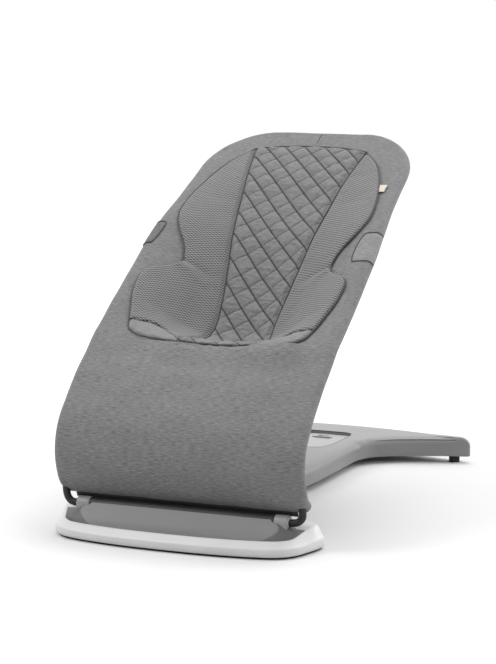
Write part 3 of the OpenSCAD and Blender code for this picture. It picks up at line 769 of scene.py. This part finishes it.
def make_cover():
    """Stretched cover: the field between the rails, the wrap round the tubes and the hem."""
    low = np.concatenate([
        np.linspace(0, 0.282, 84)[:-1],
        np.linspace(0.282, 0.300, 22)[:-1],
        np.linspace(0.300, TOP_S - CORNER_HIGH, 132),
    ])
    corner_rows = np.sin(np.linspace(0, math.pi / 2, 26)[1:])
    levels = np.concatenate([low, low[-1] + (TOP_S - WRAP - low[-1]) * corner_rows])
    outline = outline_at(2400)
    inner = outline - WRAP * edge_normals(outline)
    right = inner[: len(inner) // 2]
    width = np.interp(levels, right[:, 1], right[:, 0])
    width[-1] = CORNER_FLAT
    rows, cols = len(levels), 121
    widest = math.pi / 2 * 0.9
    share = np.sin(np.linspace(-1, 1, cols) * math.pi / 2 * 0.9) / math.sin(widest)
    x = width[:, None] * share[None, :]
    s = np.broadcast_to(levels[:, None], x.shape)
    field = seat(s, x, cover_detail(s, x))
    verts = [field.reshape(-1, 3)]
    uvs = [np.stack([x, s], -1).reshape(-1, 2)]
    faces = grid_faces(rows, cols)

    def join(previous, ring, flat):
        """Adds a ring of points, joined to the one before it, and returns its numbers."""
        first = sum(map(len, verts))
        verts.append(ring)
        uvs.append(flat)
        current = list(range(first, first + len(ring)))
        for i in range(len(ring) - 1):
            faces.append((previous[i], current[i], current[i + 1], previous[i + 1]))
        return current

    # Wrap: half-circle sections round the tube's centre line, from the field's edge
    loop = [(r, cols - 1) for r in range(rows)]
    loop += [(rows - 1, c) for c in range(cols - 2, 0, -1)]
    loop += [(r, 0) for r in range(rows - 1, -1, -1)]
    edge = np.array([(x[r, c], s[r, c]) for r, c in loop])
    out = edge_normals(edge)
    ahead = along(edge[:, 1])
    out3 = np.stack([out[:, 0], out[:, 1] * ahead[:, 0], out[:, 1] * ahead[:, 1]], 1)
    up3 = np.stack([0 * ahead[:, 0], -ahead[:, 1], ahead[:, 0]], 1)
    previous = [r * cols + c for r, c in loop]
    centre = verts[0][previous] - WRAP * up3
    for angle in np.radians(np.linspace(90, -118, 20))[1:]:
        ring = centre + WRAP * (math.cos(angle) * out3 + math.sin(angle) * up3)
        previous = join(previous, ring, edge + out * (WRAP * (math.pi / 2 - angle)))

    # Hem: the lower edge turns round the hem rod and up behind it
    ahead0 = along(0.0)
    up0 = np.array([0, -ahead0[1], ahead0[0]])
    fore0 = np.array([0, ahead0[0], ahead0[1]])
    core = field[0] - HEM_R * up0
    previous = list(range(cols))
    back = [(math.cos(a), math.sin(a), 0.0) for a in np.radians(np.linspace(18, 180, 10))]
    back += [(-1.0, 0.0, rise) for rise in (0.005, 0.011, 0.017)]
    for c_up, c_down, rise in back:
        ring = core + HEM_R * (c_up * up0 - c_down * fore0) + rise * fore0
        travel = np.full(cols, -0.004 - 0.01 * (1 - c_up) - rise)
        previous = join(previous, ring, np.stack([x[0], travel], 1))

    cover = new_object("seat_cover_jersey", np.concatenate(verts), faces, np.concatenate(uvs))
    thick = cover.modifiers.new("thickness", "SOLIDIFY")
    thick.thickness = COVER_THICK
    thick.offset = -1.0
    dress(cover, MAT["jersey"], "seat", ["seat_cover"])


# ---------------------------------------------------------------- padded insert

# Half-width of the quilted middle and of the whole insert at s, in millimetres
QUILT_EDGE = [
    (300, 62), (335, 57), (360, 52), (395, 48), (415, 48), (440, 50), (475, 54),
    (512, 59), (545, 64), (590, 70), (635, 76), (675, 81), (715, 87), (745, 91), (800, 99),
]
WING_EDGE = [
    (285, 98), (298, 122), (304, 134), (312, 143), (330, 149), (362, 158), (387, 165),
    (410, 168), (430, 168),
    (445, 163), (456, 152), (466, 140), (476, 130), (487, 124.5), (497, 123.5), (512, 126),
    (528, 133), (545, 143), (560, 151), (575, 156.5), (592, 160), (610, 160), (640, 157),
    (670, 151), (700, 144), (725, 135), (745, 126), (762, 114), (776, 101), (790, 80),
]
QUILT_LINE = curve_through(np.array(QUILT_EDGE) * MM, 8)
WING_LINE = curve_through(np.array(WING_EDGE) * MM, 8)
PAD = 0.0075  # thickness of the padding
PRESSURE, QUILT_SLACK, WING_SLACK = 4.0, 0.012, 0.015
SEAM_R = 0.0009
INSERT_LOW = 0.300
QUILT_FINE, QUILT_COARSE = (171, 520), (61, 165)
WING_FINE, WING_COARSE = (85, 420), (25, 110)


def quilt_half(s):
    return np.interp(s, QUILT_LINE[:, 0], QUILT_LINE[:, 1])


def wing_half(s):
    return np.interp(s, WING_LINE[:, 0], WING_LINE[:, 1])


def insert_top(x):
    """The insert's upper edge at x: nearly level, falling to the shoulders."""
    return 0.7955 - 0.012 * np.clip(np.abs(x) / 0.095, 0, 2) ** 2.4


def quilting(s, x):
    """Distance from the falling and rising stitched lines, 0 on a line and 1 midway."""
    return [
        np.abs(np.sin(math.pi * (s + slope * x - first) / spacing))
        for slope, first, spacing in (FALLING, RISING)
    ]


def quilt_grid(size, inset):
    """Grid of shares u, places s and x, and the upper edge, over the quilted middle."""
    u = np.linspace(-1, 1, size[0])[None, :]
    guess = insert_top(0.09 * u)
    s = INSERT_LOW + (guess - INSERT_LOW) * np.linspace(0, 1, size[1])[:, None]
    return u, s, u * (quilt_half(s) - inset), guess


def make_quilt():
    u, s, x, guess = quilt_grid(QUILT_FINE, 0.0003)
    falling, rising = quilting(s, x)
    puff = 0.45 + 0.55 * np.minimum(1, rising * 1.4) ** 0.6
    puff = np.minimum(1, falling * 1.25) ** 0.55 * puff
    _, s_few, x_few, _ = quilt_grid(QUILT_COARSE, 0.0)
    fall_few, rise_few = quilting(s_few, x_few)
    held = held_edges((fall_few < 0.13) | (rise_few < 0.10))
    blown = inflated(seat(s_few, x_few, PAD * 0.5), held, PRESSURE, QUILT_SLACK)
    blown = spread_out(blown, QUILT_COARSE, QUILT_FINE)
    puff = 0.72 * puff + 0.36 * blown * np.minimum(1, falling * 3.5) ** 0.5
    edge_gap = np.minimum((1 - np.abs(u)) * quilt_half(s), guess - s)
    seam = smoothstep(0, 0.008, edge_gap)
    height = PAD * (0.30 + 0.25 * seam) + 0.0046 * puff * seam
    pucker = np.exp(-((rising / 0.35) ** 2)) * np.sin((s + x) * 900) * 0.00045
    height += (pucker + 0.0003 * np.sin(x * 260 + s * 90) * np.sin(s * 210)) * seam
    top = seat(s, x, height)
    bottom = seat(s, x, 0.0006)
    uv = np.stack([np.broadcast_to(x, s.shape), s], -1)
    quilt = closed_pad("insert_quilt_panel", top, bottom, uv)
    dress(quilt, MAT["quilt"], "seat", ["insert_quilt"])


# Lower edge of the mesh wing: share of the way from the quilt to the wing's edge, and s
WING_LOW = (
    (0.0, 0.306), (0.06, 0.3075), (0.15, 0.316), (0.27, 0.324), (0.40, 0.333),
    (0.55, 0.3385), (0.70, 0.3375), (0.85, 0.3335), (1.0, 0.330),
)
WING_LOW_LINE = curve_through(np.array(WING_LOW), 8)
WING_TOP = 0.784
STRIP_LOW = 0.2975
CREASE = (0.492, 0.22)  # fold across the wing: its s beside the quilt, and its slope


def wing_grid(low, high, size):
    """Grid of s and x over a wing between its lower and upper edges."""
    u = np.linspace(0, 1, size[0])[None, :]
    s = low(u) + (high(u) - low(u)) * np.linspace(0, 1, size[1])[:, None]
    inner = quilt_half(s) + 0.0003
    outer = np.maximum(wing_half(s), inner + 0.002)
    return s, inner + (outer - inner) * u, inner, outer


def wing_top(u):
    return WING_TOP + 0 * u


def wing_low(u):
    return np.interp(u, WING_LOW_LINE[:, 0], WING_LOW_LINE[:, 1])


def rolled(gap, width):
    """Rounded edge: 0 at the edge, 1 from width inwards."""
    return np.sqrt(1 - (1 - np.clip(gap / width, 0, 1)) ** 2)


def fold_at(s, x, place, slope):
    """Distance from a slanted line across the wing."""
    return s - place - slope * (x - 0.123)


def outward(sign):
    """Order of a grid's rows that makes its faces look outwards when x grows with that sign."""
    return slice(None, None, 1 if sign > 0 else -1)


def wing_pad(name, side, s, x, height, floor):
    """Padded solid of one side, from its grid and its height over the seat."""
    order = outward(side)
    top, bottom = seat(s, side * x, np.maximum(height, floor)), seat(s, side * x, 0.0005)
    uv = np.stack([side * x, s], -1)
    return closed_pad(name, top[order], bottom[order], uv[order])


def make_wing(side, name):
    """Mesh wing beside the quilt, padded, with a rolled edge, and the jersey strip below it."""
    s, x, inner, outer = wing_grid(wing_low, wing_top, WING_FINE)
    low = wing_low(np.linspace(0, 1, WING_FINE[0])[None, :])
    roll = 0.38 + 0.62 * rolled(outer - x, 0.008)
    roll = roll * (0.38 + 0.62 * rolled(WING_TOP + 0.001 - s, 0.010))
    roll *= 0.35 + 0.65 * rolled(s - low + 0.0004, 0.006)
    seam = 0.30 + 0.70 * smoothstep(0, 0.007, x - inner)
    lobe = smoothstep(0.500, 0.480, s) * smoothstep(0.030, 0.055, x - inner)
    height = 0.0006 + PAD * (0.82 + 0.35 * lobe) * roll * seam
    fold = np.exp(-((fold_at(s, x, *CREASE) / 0.006) ** 2))
    height -= 0.0032 * fold * smoothstep(0.015, 0.060, x - inner)
    ridge = np.exp(-((fold_at(s, x, 0.478, 0.35) / 0.009) ** 2))
    height += 0.0020 * ridge * smoothstep(0.010, 0.045, x - inner) * roll
    height += 0.0006 * np.sin(s * 33 + 2 * x) * np.sin(x * 55) * roll
    order = outward(side)
    s_few, x_few, inner_few, _ = wing_grid(wing_low, wing_top, WING_COARSE)
    crease = np.abs(fold_at(s_few, x_few, *CREASE)) < 0.0035
    held = held_edges(crease & (x_few - inner_few > 0.035))
    base = seat(s_few, side * x_few, PAD * 0.8)[order]
    blown = inflated(base, held[order], PRESSURE, WING_SLACK)[order]
    height += 0.0022 * (spread_out(blown, WING_COARSE, WING_FINE) - 0.35) * roll
    wing = wing_pad(f"insert_wing_{name}", side, s, x, height, 0.0008)
    dress(wing, MAT["knit"], "seat", [f"insert_side_{name}"])

    s, x, inner, outer = wing_grid(
        lambda u: STRIP_LOW + 0 * u, lambda u: wing_low(u) - 0.0004, (60, 40)
    )
    low = wing_low(np.linspace(0, 1, 60)[None, :])
    roll = rolled(outer - x, 0.008) * (0.3 + 0.7 * rolled(s - 0.2968, 0.006))
    roll *= 0.35 + 0.65 * rolled(low - s, 0.005)
    dimple = 0.5 + 0.5 * np.cos(x * 2 * math.pi / 0.0235)
    height = 0.0006 + PAD * (0.60 + 0.15 * dimple) * roll
    strip = wing_pad(f"insert_strip_{name}", side, s, x, height, 0.0)
    dress(strip, MAT["strip"], "seat")


def make_piping():
    """Piping round the insert's edge and the seams between quilt and mesh."""
    foot = np.stack([np.linspace(0.072, 0.119, 18), np.full(18, 0.2972)], 1)
    up_side = np.linspace(0.2985, 0.776, 300)
    right = np.stack([wing_half(up_side) + 0.0006, up_side], 1)
    across = np.linspace(0.099, 0, 60)
    crown = np.stack([across, insert_top(across) + 0.0006], 1)
    half = even(np.concatenate([foot, right, crown]), 380)
    whole = np.concatenate([half, half[-2::-1] * (-1, 1)])
    lift = 0.0010 + 0.0026 * smoothstep(0.300, 0.345, whole[:, 1])
    path = seat(whole[:, 1], whole[:, 0], lift)
    piping = swept("insert_piping", path, 0.0010, 8)
    dress(piping, MAT["piping"], "seat")
    for side, name in SIDES:
        s = np.linspace(0.3065, 0.784, 260)
        line = seat(s, side * quilt_half(s), PAD * 0.32)
        seam = swept(f"quilt_seam_{name}", line, SEAM_R, 8)
        dress(seam, MAT["stitch"], "seat")
        u = np.linspace(0, 1, 90)
        s = wing_low(u)
        x = quilt_half(s) + (wing_half(s) - quilt_half(s)) * u
        hem = swept(f"wing_hem_{name}", seat(s, side * x, 0.0036), SEAM_R, 8)
        dress(hem, MAT["stitch"], "seat")


# ---------------------------------------------------------------- small fabric pieces


def wrapped(s, x, up):
    """Points raised by up from the cover, which turns down round the rail at its edge."""
    s, x, up = np.broadcast_arrays(*(np.asarray(v, float) for v in (s, x, up)))
    edge = half_at(s) - WRAP
    turn = np.clip((np.abs(x) - edge) / WRAP, 0, 2)
    flat = np.sign(x) * np.minimum(np.abs(x), edge)
    radius = WRAP + up
    points = seat(s, flat, radius * np.cos(turn) - WRAP)
    points[..., 0] += np.sign(x) * radius * np.sin(turn)
    return points


def patch(name, s_range, edges, lift, thick, material, replaces):
    """Small padded patch on the seat; edges(v) gives its inner and outer x at height v."""
    v = np.linspace(0, 1, 30)[:, None]
    u = np.linspace(0, 1, 24)[None, :]
    s = s_range[0] + (s_range[1] - s_range[0]) * v + 0 * u
    low, high = edges(v)
    x = low + (high - low) * u + 0 * v
    near = np.minimum(np.minimum(u, 1 - u), np.minimum(v, 1 - v))
    height = lift + thick * smoothstep(0, 0.12, near)
    top, bottom = wrapped(s, x, height), wrapped(s, x, lift - 0.0004)
    uv = np.stack([x, s], -1)
    order = outward(x[0, -1] - x[0, 0])
    obj = closed_pad(name, top[order], bottom[order], uv[order])
    dress(obj, material, "seat", [replaces])


def make_hem_shade_strip():
    """Dark strip that hangs from the hem behind the hinge bar: painted shade that darkens the gap
    between the hem and the foot.
    """
    reach = 0.176
    path = [(0.0790, 0.0590), (0.0822, 0.0556), (0.0842, 0.0520), (0.0850, 0.0488)]
    path = curve_through(np.array(path), 6)
    x = np.linspace(-reach, reach, 60)
    y, z, x = (a.copy() for a in np.broadcast_arrays(path[:, :1], path[:, 1:], x[None, :]))
    front, back = (np.stack([x, row_y(y + offset), z], -1) for offset in (0.0, 0.0011))
    strip = closed_pad("hem_shade_strip", back, front, np.stack([x, z], -1))
    # Dark thread colour on the strip: painted shade in the gap under the hem
    dress(strip, MAT["stitch"], "seat")


# Side tabs: inner edge, s from and to, how round the inner edge is, and its slant
TABS = ((0.1700, 0.508, 0.563, 0.10, 0.007), (0.1600, 0.489, 0.557, 0.22, -0.004))


def make_trim():
    for (side, name), (inner, low, high, round_by, slant) in zip(SIDES, TABS):

        def tab_edges(v):
            inset = 0.013 * (1 - np.sin(np.clip(v, 0.0, 1.0) * math.pi) ** round_by)
            outer = half_at(low + (high - low) * v) + 0.004
            return side * (inner + inset + slant * (1 - v)), side * outer

        # The left tab takes the darker copy of the tab jersey: painted shade
        look = MAT["tab" if side > 0 else "tab_painted_shade"]
        patch(f"side_tab_flap_{name}", (low, high), tab_edges, 0.0004, 0.0012, look,
              f"side_tab_{name}")
        v = np.linspace(0, 1, 60)
        inner_edge, outer_edge = tab_edges(v)
        rim = np.stack([inner_edge, low + (high - low) * v], 1)
        rim = np.concatenate([[(outer_edge[0], low)], rim, [(outer_edge[-1], high)]])
        rim = even(rim, 110)
        path = wrapped(rim[:, 1], rim[:, 0], 0.0009)
        cord = swept(f"side_tab_edge_{name}", path, 0.0008, 6)
        dress(cord, MAT["stitch"], "seat")
    patch("blank_tag", (0.6675, 0.6875), lambda v: (0.1470, 0.1615), 0.0030, 0.0006,
          MAT["tape"], "label_tag")
    s = np.linspace(0.7965, TOP_S - 0.0105, 30)
    seam = swept("top_seam", seat(s, 0 * s + 0.001, -0.0001), 0.0006, 6)
    dress(seam, MAT["stitch"], "seat")


# ---------------------------------------------------------------- tubes


def rail_path(s_from, s_to, count):
    """Centre line of the right rail between two places along the profile."""
    s = np.linspace(s_from, s_to, count)
    return seat(s, half_at(s) - WRAP, -WRAP)


KNEE = 64  # point of the profile from which it runs steadily back
TUBE_R, ROD_R = 0.006, 0.0055


def s_of(y):
    """Distance along the profile at a place from the front edge, above the knee."""
    return float(np.interp(y, LINE[KNEE:, 0], RUN[KNEE:]))


def make_tubes():
    hinge_low, hinge_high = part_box("hinge_bar")
    axis_y = (hinge_low.y + hinge_high.y) / 2
    axis_z = (hinge_low.z + hinge_high.z) / 2
    parts = {
        "lower_rail": (s_of(0.098), s_of(0.375)),
        "upper_rail": (s_of(0.425), TOP_S - CORNER_HIGH),
    }
    for side, name in SIDES:
        for part, (a, b) in parts.items():
            path = rail_path(a, b, 60) * (side, 1, 1)
            tube = swept(f"{part}_tube_{name}", path, TUBE_R, 20)
            dress(tube, MAT["frame"], "seat", [f"{part}_{name}"])
        bend = np.array([
            (0.147, axis_y, axis_z),
            (0.160, axis_y, axis_z),
            (0.170, axis_y, axis_z),
            (0.180, axis_y + 0.0005, axis_z + 0.002),
            (0.186, axis_y + 0.001, axis_z + 0.009),
            (0.187, axis_y - 0.001, axis_z + 0.020),
        ])
        rise = rail_path(0.022, s_of(0.098), 16)
        path = curve_through(np.concatenate([bend, rise]), 5) * (side, 1, 1)
        rod = swept(f"front_rod_hook_{name}", path, ROD_R, 20)
        dress(rod, MAT["black_rod"], "seat", [f"front_rod_{name}"])
        outline = outline_at(1200)
        centre = outline - WRAP * edge_normals(outline)
        corner = centre[:, 1] > TOP_S - CORNER_HIGH - 0.001
        bow = centre[corner & (centre[:, 0] > 0.03)]
        path = seat(bow[:, 1], bow[:, 0], -WRAP) * (side, 1, 1)
        tube = swept(f"top_bow_tube_{name}", path, TUBE_R, 20)
        dress(tube, MAT["frame"], "seat", [f"top_bow_{name}"])


# ---------------------------------------------------------------- front foot


def mirrored(half):
    """Closed outline from its right half, front middle to back middle."""
    half = np.asarray(half, float)
    inner = half[1:-1] * (-1, 1)
    return np.concatenate([half, inner[::-1]])


def ring_normals(loop):
    """Inward normals of a closed outline."""
    direction = unit(np.roll(loop, -1, 0) - np.roll(loop, 1, 0))
    return np.stack([-direction[:, 1], direction[:, 0]], 1)


# Right edge of the foot from the front middle, in millimetres
FOOT_SIDE = [
    (60, 1.5), (120, 8), (165, 19), (188, 38), (200, 66), (208, 96), (205, 114),
    (182, 132), (146, 152), (104, 178), (76, 204),
]
FOOT_END = 0.222


def foot_half_outline():
    side = curve_through(np.array([(0, 0), *FOOT_SIDE, (62, 222)]) * MM, 12)
    return np.concatenate([even(side, 150), even([(0.062, FOOT_END), (0, FOOT_END)], 14)[1:]])


# Height of the ramp above the dish floor against the distance from the front edge
RAMP = (
    (0.030, 0.0), (0.038, 0.0008), (0.046, 0.0055), (0.054, 0.0145), (0.061, 0.0245),
    (0.065, 0.0290), (0.073, 0.0300),
)
RAMP_LINE = curve_through(np.array(RAMP), 8)
DISH_Z = 0.0165
BAR_Y = 0.073
# Side wall of the foot's shell from the bottom up: inset from the outline, and height
FOOT_WALL = (
    (0.0052, 0.0030), (0.0030, 0.0030), (0.0012, 0.0042), (0.0002, 0.0066), (0.0, 0.0100),
    (0.0004, 0.0135), (0.0012, 0.0158), (0.0022, 0.0168), (0.0035, 0.0178),
    (0.0060, 0.0206), (0.0085, 0.0236), (0.0105, 0.0258), (0.0122, 0.0270),
    (0.0140, 0.0274),
)


def foot_height(x, y, inside):
    """Height of the front foot at x and y, inside being the distance from its crest."""
    side = np.abs(x)
    crest = 0.0237 + 0.0120 * smoothstep(0.045, 0.100, y)
    slope = smoothstep(0.0, 0.0125, inside)
    ramp = np.interp(y, RAMP_LINE[:, 0], RAMP_LINE[:, 1])
    end = smoothstep(0.150, 0.178, side)
    floor = DISH_Z + ramp * (1 - end) + end * (0.0130 * smoothstep(0.040, 0.075, y) + 0.003)
    front = crest + (floor - crest) * slope
    bridge = crest + (0.0365 - crest) * smoothstep(0.0, 0.030, inside)
    bridge += 0.0030 * smoothstep(0.090, 0.120, y) * smoothstep(0.0, 0.040, inside)
    behind = smoothstep(BAR_Y + 0.004, BAR_Y + 0.012, y)
    return front * (1 - behind) + bridge * behind


def make_foot():
    loop = mirrored(foot_half_outline())
    normal = ring_normals(loop)
    wall_inset, wall_top = FOOT_WALL[-1]
    rings = [raised(loop + inset * normal, z) for inset, z in FOOT_WALL]
    crest = loop + wall_inset * normal
    rise = foot_height(crest[:, 0], crest[:, 1], 0) - wall_top
    for ring, (_, z) in zip(rings, FOOT_WALL):
        ring[:, 2] += rise * smoothstep(0.012, wall_top, z)
    spine = np.stack([np.clip(crest[:, 0], -0.118, 0.118) * 0.98, np.full(len(loop), BAR_Y)], 1)
    spine[:, 0] *= smoothstep(0.225, 0.120, crest[:, 1]) * 0.9 + 0.1
    reach = np.linalg.norm(crest - spine, axis=1)
    for a in np.concatenate([np.linspace(0.99, 0.60, 34), np.linspace(0.585, 0.02, 30)]):
        ring = spine + (crest - spine) * a
        rings.append(raised(ring, foot_height(ring[:, 0], ring[:, 1], reach * (1 - a))))
    foot = lofted("front_foot_skin", rings)
    sharpen(foot, 50)
    dress(foot, MAT["silver"], "base", ["front_foot_shell"])
    # Second slot: the inner slope in front of the hinge bar gets the dark grey, painted shade
    # under the seat
    foot.data.materials.append(MAT["slope"])
    for face in foot.data.polygons:
        row = min(face.vertices) // len(loop)
        if row >= len(FOOT_WALL) and face.center.y < row_y(BAR_Y + 0.006):
            face.material_index = 1


# Right edge of the ramp panel in millimetres, and its rounded border: inset and rise
RAMP_EDGE = (
    (0, 31.5), (60, 32.5), (112, 36.5), (138, 43), (153, 52), (157, 58), (152, 61.2),
    (144, 62.4), (143, 67),
)
RAMP_BORDER = ((0, -0.0030), (0, 0.0002), (0.0003, 0.0009), (0.0010, 0.0014), (0.0022, 0.0016))


def make_ramp():
    """Raised panel on the dish floor, running up to the hinge bar."""
    half = curve_through(np.array(RAMP_EDGE) * MM, 10)
    loop = mirrored(np.concatenate([even(half, 90), [(0.0, 0.0690)]]))
    loop = even(np.concatenate([loop, loop[:1]]), 260)[:-1]
    normal = ring_normals(loop)
    middle = np.stack([loop[:, 0] * 0.9, np.full(len(loop), 0.0600)], 1)
    flat_inset, flat_up = RAMP_BORDER[-1]
    inner = loop + flat_inset * normal
    rings = [(loop + inset * normal, up) for inset, up in RAMP_BORDER]
    rings += [(middle + (inner - middle) * a, flat_up) for a in np.linspace(0.94, 0.04, 18)]
    rings = [raised(ring, foot_height(ring[:, 0], ring[:, 1], 1.0) + up) for ring, up in rings]
    ramp = lofted("foot_ramp_panel", rings)
    sharpen(ramp, 60)
    # The ramp's darker grey is painted shade from the seat above
    dress(ramp, MAT["dish"], "base", ["foot_ramp"])


# ---------------------------------------------------------------- deck

# Right edge of the deck from the neck round the arm to the rear middle, in millimetres
DECK_SIDE = [
    (57, 250), (58, 330), (62, 400), (68, 450), (72, 520), (74, 590), (77, 632),
    (88, 660), (112, 681), (150, 700), (195, 717), (234, 729),
]
DECK_TIP = [(240, 731), (242, 736), (239, 741), (230, 744)]
DECK_REAR = [(205, 750), (150, 761), (100, 769), (50, 774), (0, 776)]
ARM_MIDDLE = ((0, 0.730), (0.100, 0.731), (0.205, 0.735))
RECESS = [
    (0, 564), (14, 564), (32, 571), (41, 590), (44, 620), (47, 668), (46, 684), (42, 694),
    (33, 699), (0, 700),
]
DECK_TOP = 0.043
# Section of the deck's side from the bottom up: inset from the outline, and height
DECK_WALL = (
    (0.0040, 0.0112), (0.0012, 0.0110), (0.0003, 0.0116), (0.0, 0.0130), (0.0, 0.0290),
    (0.0004, 0.0318), (0.0016, 0.0346), (0.0036, 0.0374), (0.0062, 0.0396),
    (0.0092, 0.0413), (0.0128, 0.0425), (0.0165, 0.0430),
)
# Cuts in the neck: half-width, from and to in millimetres, and the upper end
CHANNEL, RAIL_ROOM = (13.5, 295, 502, 0.060), (17.5, 302, 546, 0.039)


def deck_half():
    """Right half of the deck's outline."""
    front = even(np.array([(0, 222.5), (50, 222.5), (56, 230)]) * MM, 30)
    side = even(curve_through(np.array(DECK_SIDE) * MM, 10), 240)
    tip = curve_through(np.array([DECK_SIDE[-1], *DECK_TIP, DECK_REAR[0]]) * MM, 8)[8:-8]
    rear = even(curve_through(np.array(DECK_REAR) * MM, 10), 110)
    return np.concatenate([front, side, tip, rear])


def deck_middle(p):
    """Inner partner of an outline point, towards which the outline shrinks."""
    x, y = p
    if y < 0.240:
        return min(x, 0.030), 0.255
    if y < 0.640:
        return 0.0, y
    near = min(x, ARM_MIDDLE[-1][0])
    return near, np.interp(near, *zip(*ARM_MIDDLE))


def slab(name, half, z_low, z_high):
    """Upright prism over a mirrored outline given in millimetres, as a cutting tool."""
    loop = mirrored(np.array(half) * MM)
    return lofted(name, [raised(loop, z) for z in (z_low, z_high)])


def make_deck():
    half = deck_half()
    middle = np.array([deck_middle(p) for p in half])
    reach = np.linalg.norm(middle - half, axis=1)[:, None]
    rings = []
    for inset, z in DECK_WALL:
        share = np.minimum(0.62, inset / reach)
        rings.append(raised(mirrored(half + (middle - half) * share), z))
    deck = lofted("deck_cover_skin", rings)
    tools = [slab("cut_recess", RECESS, DECK_TOP - 0.007, 0.060)]
    for wide, start, end, top in (CHANNEL, RAIL_ROOM):
        corners = [(0, start), (wide, start), (wide, end), (0, end)]
        tools.append(slab("cut_neck", corners, -0.01, top))
    arm = [i for i, p in enumerate(half) if 0.094 < p[0] < 0.224 and p[1] < 0.730]
    lip = half[arm] + (middle[arm] - half[arm]) * (0.0038 / reach[arm])
    lip = even(lip, 60)
    radius = 0.0026 * np.sin(np.linspace(0.10, math.pi - 0.10, len(lip))) ** 0.30
    for side in (-1, 1):
        path = raised(lip * (side, 1), 0.0381)
        tools.append(swept(f"cut_groove_{side}", path, radius, 12, up=(0, 0, 1)))
    cut(deck, *tools)
    sharpen(deck, 40)
    dress(deck, MAT["deck"], "base", ["deck_cover"])
    gap = mirrored(even(np.array(RECESS) * MM, 90))
    path = raised(gap, DECK_TOP - 0.0003)
    seam = swept("recess_gap_line", path, 0.0006, 8, up=(0, 0, 1), closed=True)
    dress(seam, MAT["dark"], "base")


def make_slider():
    """Lock slider: pale cap with a raised black arrow that points to its travel."""
    low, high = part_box("lock_slider")
    middle = np.array([(low.x + high.x) / 2, (low.y + high.y) / 2])
    half, top = np.array([(high.x - low.x) / 2, (high.y - low.y) / 2]), high.z
    angles = np.linspace(0, 2 * math.pi, 64, endpoint=False)
    circle = np.column_stack([np.cos(angles), np.sin(angles)])
    edge = half * np.sign(circle) * np.abs(circle) ** (2 / 6)

    def placed(outline, z):
        return np.column_stack([middle + outline, np.full(len(outline), z)])

    border = ((0.96, top - 0.0020), (1.0, top - 0.0016), (1.0, top - 0.0006), (0.96, top))
    cap = lofted("lock_slider_cap", [placed(edge * share, z) for share, z in border])
    sharpen(cap, 50)
    dress(cap, MAT["panel"], "lock")
    shape = np.array([
        (-0.0115, 0.0), (-0.0020, -0.0042), (-0.0020, -0.0016), (0.0105, -0.0016),
        (0.0105, 0.0016), (-0.0020, 0.0016), (-0.0020, 0.0042),
    ])
    levels = (top - 0.0004, top + 0.0003)
    arrow = lofted("lock_slider_arrow", [placed(shape, z) for z in levels])
    sharpen(arrow, 20)
    dress(arrow, MAT["dark"], "lock", ["lock_slider"])


# ---------------------------------------------------------------- CAD nodes that stay


CAD_LOOKS = {
    "steel": ["guide_rail", "leaf_spring", "base_screws", "strut_core", "foot_pin", "snap_button"],
    "frame": ["spine_tube", "arm_tube", "coupler", "bow_connector", "brace_arm", "cross_tube"],
    "dark": ["hinge_bar", "tube_collars", "strut_shell", "slide_shoe", "release_lever",
             "position_mark", "hem_rod"],
    "tray": ["deck_tray"],
    "rubber": ["front_grip_pad", "rear_foot"],
    "housing": ["pivot_housing"],
    "nylon": ["pivot_bush"],
    "ballast": ["ballast_plate"],
    "panel": ["recess_panel"],
    "brake": ["brake_pad"],
}


def dress_cad():
    """Materials for the CAD nodes that show, in the slots that they came with."""
    for look, starts in CAD_LOOKS.items():
        for name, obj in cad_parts.items():
            if name.startswith(tuple(starts)):
                if not obj.material_slots:
                    obj.data.materials.append(None)
                for slot in obj.material_slots:
                    slot.material = MAT[look]
    for width, segments, names in (
        (0.0018, 3, ("strut_shell_front", "strut_shell_rear", "release_lever")),
        (0.0003, 1, ("slide_shoe",)),
        (0.0030, 3, ("pivot_housing_left", "pivot_housing_right")),
        (0.0008, 2, ("recess_panel", "rear_foot_left", "rear_foot_right")),
    ):
        for name in names:
            soften(name, width, segments)


make_camera()
make_studio()
dress_cad()
make_cover()
make_quilt()
for side_sign, side_name in SIDES:
    make_wing(side_sign, side_name)
make_piping()
make_trim()
make_hem_shade_strip()
make_tubes()
make_foot()
make_ramp()
make_deck()
make_slider()
